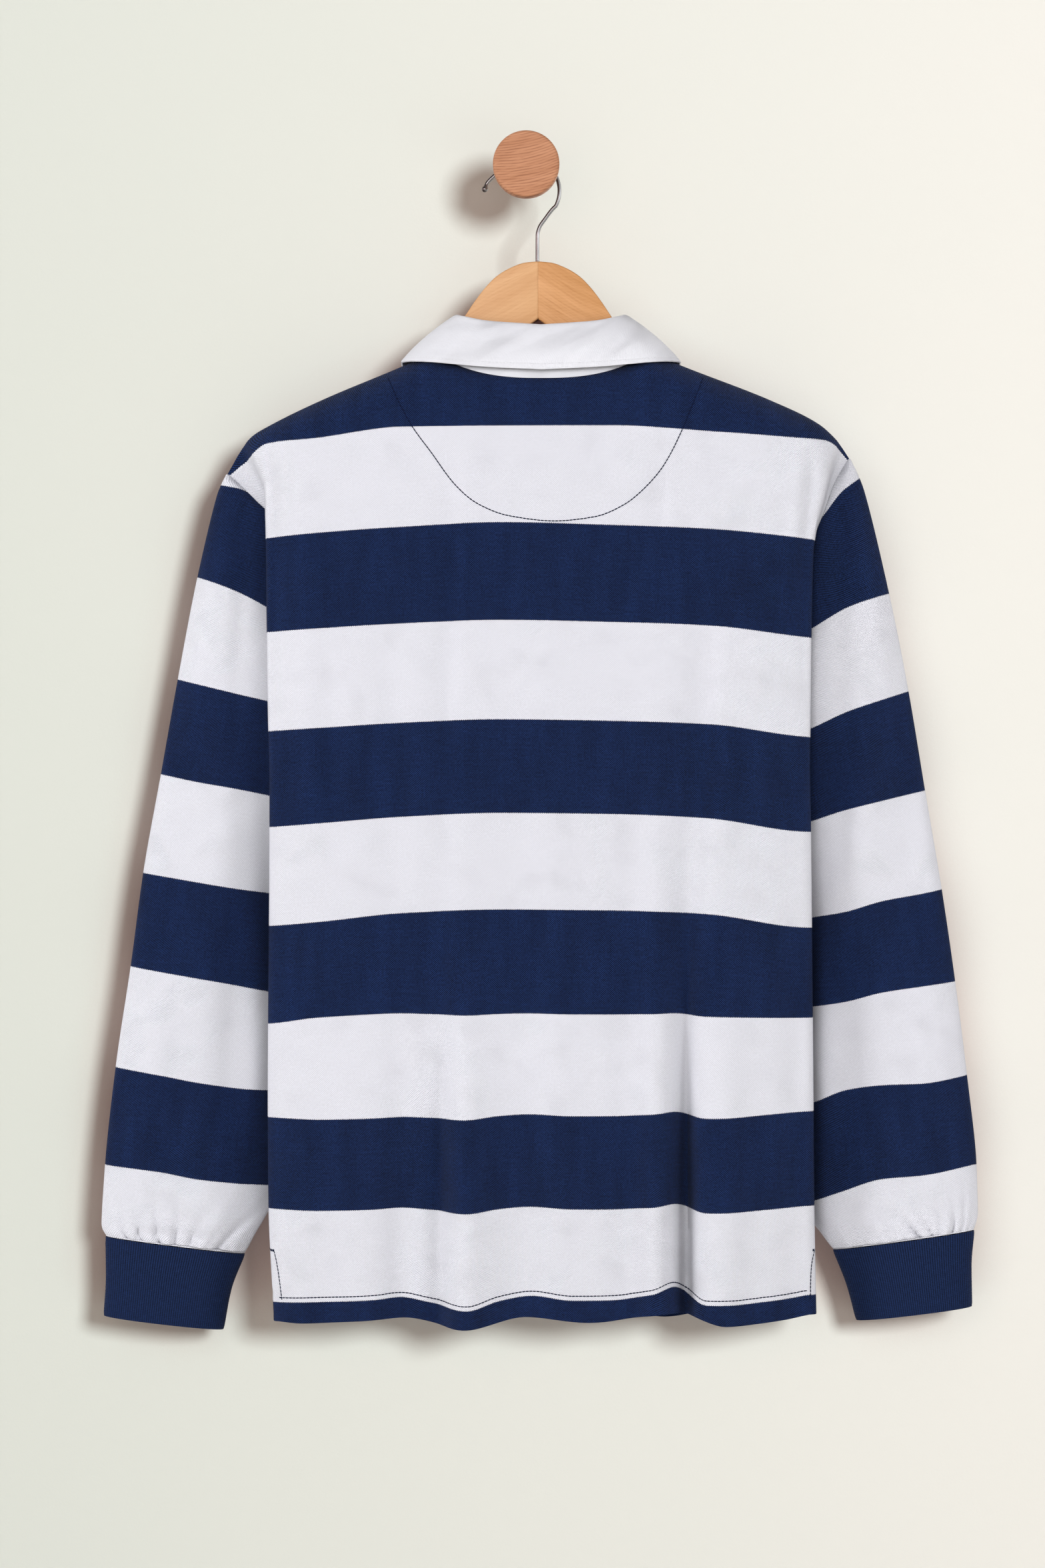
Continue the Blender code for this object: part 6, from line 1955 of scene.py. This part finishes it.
class Falls(Enum):
    """What a light falls on: the wall and floor, or the shirt and its hanger."""

    STAGE = "INCLUDE"
    OBJECT = "EXCLUDE"


@dataclass(frozen=True)
class AreaLight:
    """Round studio light aimed at the shirt, metres and watts."""

    name: str
    place: tuple[float, float, float]
    size: float
    power: float
    falls: Falls
    colour: Colour = (1.0, 1.0, 1.0)
    target: tuple[float, float, float] = (0.0, 0.0, -0.45)

    def build(self, stage: list[bpy.types.Object]) -> None:
        """Add the light, linked to what it falls on.

        Args:
            stage: the wall and the floor.
        """
        lamp = bpy.data.lights.new(self.name, "AREA")
        lamp.shape, lamp.size, lamp.energy, lamp.color = "DISK", self.size, self.power, self.colour
        thing = bpy.data.objects.new(self.name, lamp)
        thing.location = self.place
        way = Vector(self.target) - Vector(self.place)
        thing.rotation_euler = way.to_track_quat("-Z", "Y").to_euler()
        bpy.context.scene.collection.objects.link(thing)
        receivers = bpy.data.collections.new(self.name + "_receivers")
        for one in stage:
            receivers.objects.link(one)
        for entry in receivers.collection_objects:
            entry.light_linking.link_state = self.falls.value
        thing.light_linking.receiver_collection = receivers


@dataclass(frozen=True)
class Room:
    """Pale wall and floor, soft lights and the camera."""

    finishes: Finishes
    floor_level: float = -1.25
    half_width: float = 3.2
    depth: float = 5.5
    height: float = 2.2
    wall_y: float = 0.0006
    plane_points: int = 25
    world: float = 0.20
    camera_place: tuple[float, float, float] = (-0.00275, -3.088, -0.4655)
    camera_lens: float = 91.8
    lights: tuple[AreaLight, ...] = (
        AreaLight("wall_key", (2.15, -5.9, 0.75), 1.5, 360.0, Falls.STAGE, (0.93, 1.0, 1.0)),
        AreaLight("wall_fill", (-1.0, -5.0, -0.2), 4.5, 62.0, Falls.STAGE, (1.0, 0.56, 0.48)),
        AreaLight("front", (-1.2, -5.8, 0.60), 2.2, 228.0, Falls.OBJECT),
        AreaLight("left", (-7.5, -4.0, 0.60), 2.4, 385.0, Falls.OBJECT),
        AreaLight("right", (7.5, -4.4, 0.40), 2.4, 280.0, Falls.OBJECT),
        AreaLight("rear", (0.6, 3.2, 0.4), 2.0, 60.0, Falls.OBJECT))

    def build(self) -> None:
        """Make the wall, the floor, the lights, the world and the camera."""
        w, d, h, f, back = self.half_width, self.depth, self.height, self.floor_level, self.wall_y
        wall = self._plane("wall", ((-w, back, f), (w, back, f), (w, back, h), (-w, back, h)))
        wall.data.materials.append(self.finishes.wall.make())
        floor = self._plane("floor", ((-w, -d, f), (w, -d, f), (w, back, f), (-w, back, f)))
        floor.data.materials.append(self.finishes.floor.make())
        for light in self.lights:
            light.build([wall, floor])
        world = bpy.data.worlds.new("studio")
        world.use_nodes = True
        sockets = world.node_tree.nodes["Background"].inputs
        sockets["Color"].default_value, sockets["Strength"].default_value = (1.0, 0.95, 0.93, 1.0), self.world
        bpy.context.scene.world = world
        bpy.context.scene.view_settings.view_transform = "Standard"
        self._camera()

    def _plane(self, name: str, corners: tuple[tuple[float, float, float], ...]) -> bpy.types.Object:
        """Flat stage surface cut into a grid."""
        a, b, c, d = (np.array(corner) / MM for corner in corners)
        side = self.plane_points
        s = np.linspace(0, 1, side)[:, None, None]
        t = np.linspace(0, 1, side)[None, :, None]
        grid = (a * (1 - t) + b * t) * (1 - s) + (d * (1 - t) + c * t) * s
        thing = make_object(name, grid.reshape(-1, 3), grid_cells(np.arange(side ** 2).reshape(side, side)))
        return thing

    def _camera(self) -> None:
        """Camera square to the wall, level with the middle of the shirt."""
        data = bpy.data.cameras.new("camera")
        data.sensor_fit, data.sensor_height, data.lens = "VERTICAL", 36.0, self.camera_lens
        thing = bpy.data.objects.new("camera", data)
        thing.location = self.camera_place
        thing.rotation_euler = (math.radians(90), 0.0, 0.0)
        bpy.context.scene.collection.objects.link(thing)
        bpy.context.scene.camera = thing


def main(frame: dict) -> None:
    """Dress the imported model.
    """
    logging.basicConfig(level=logging.INFO, format="%(name)s: %(message)s")
    LOG.info("frame with %d nodes", len(frame["nodes"]))
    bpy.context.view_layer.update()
    finishes = Finishes()
    Shirt(Form(), finishes).build()
    Room(finishes).build()


if __name__ == "__main__":
    main(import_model())
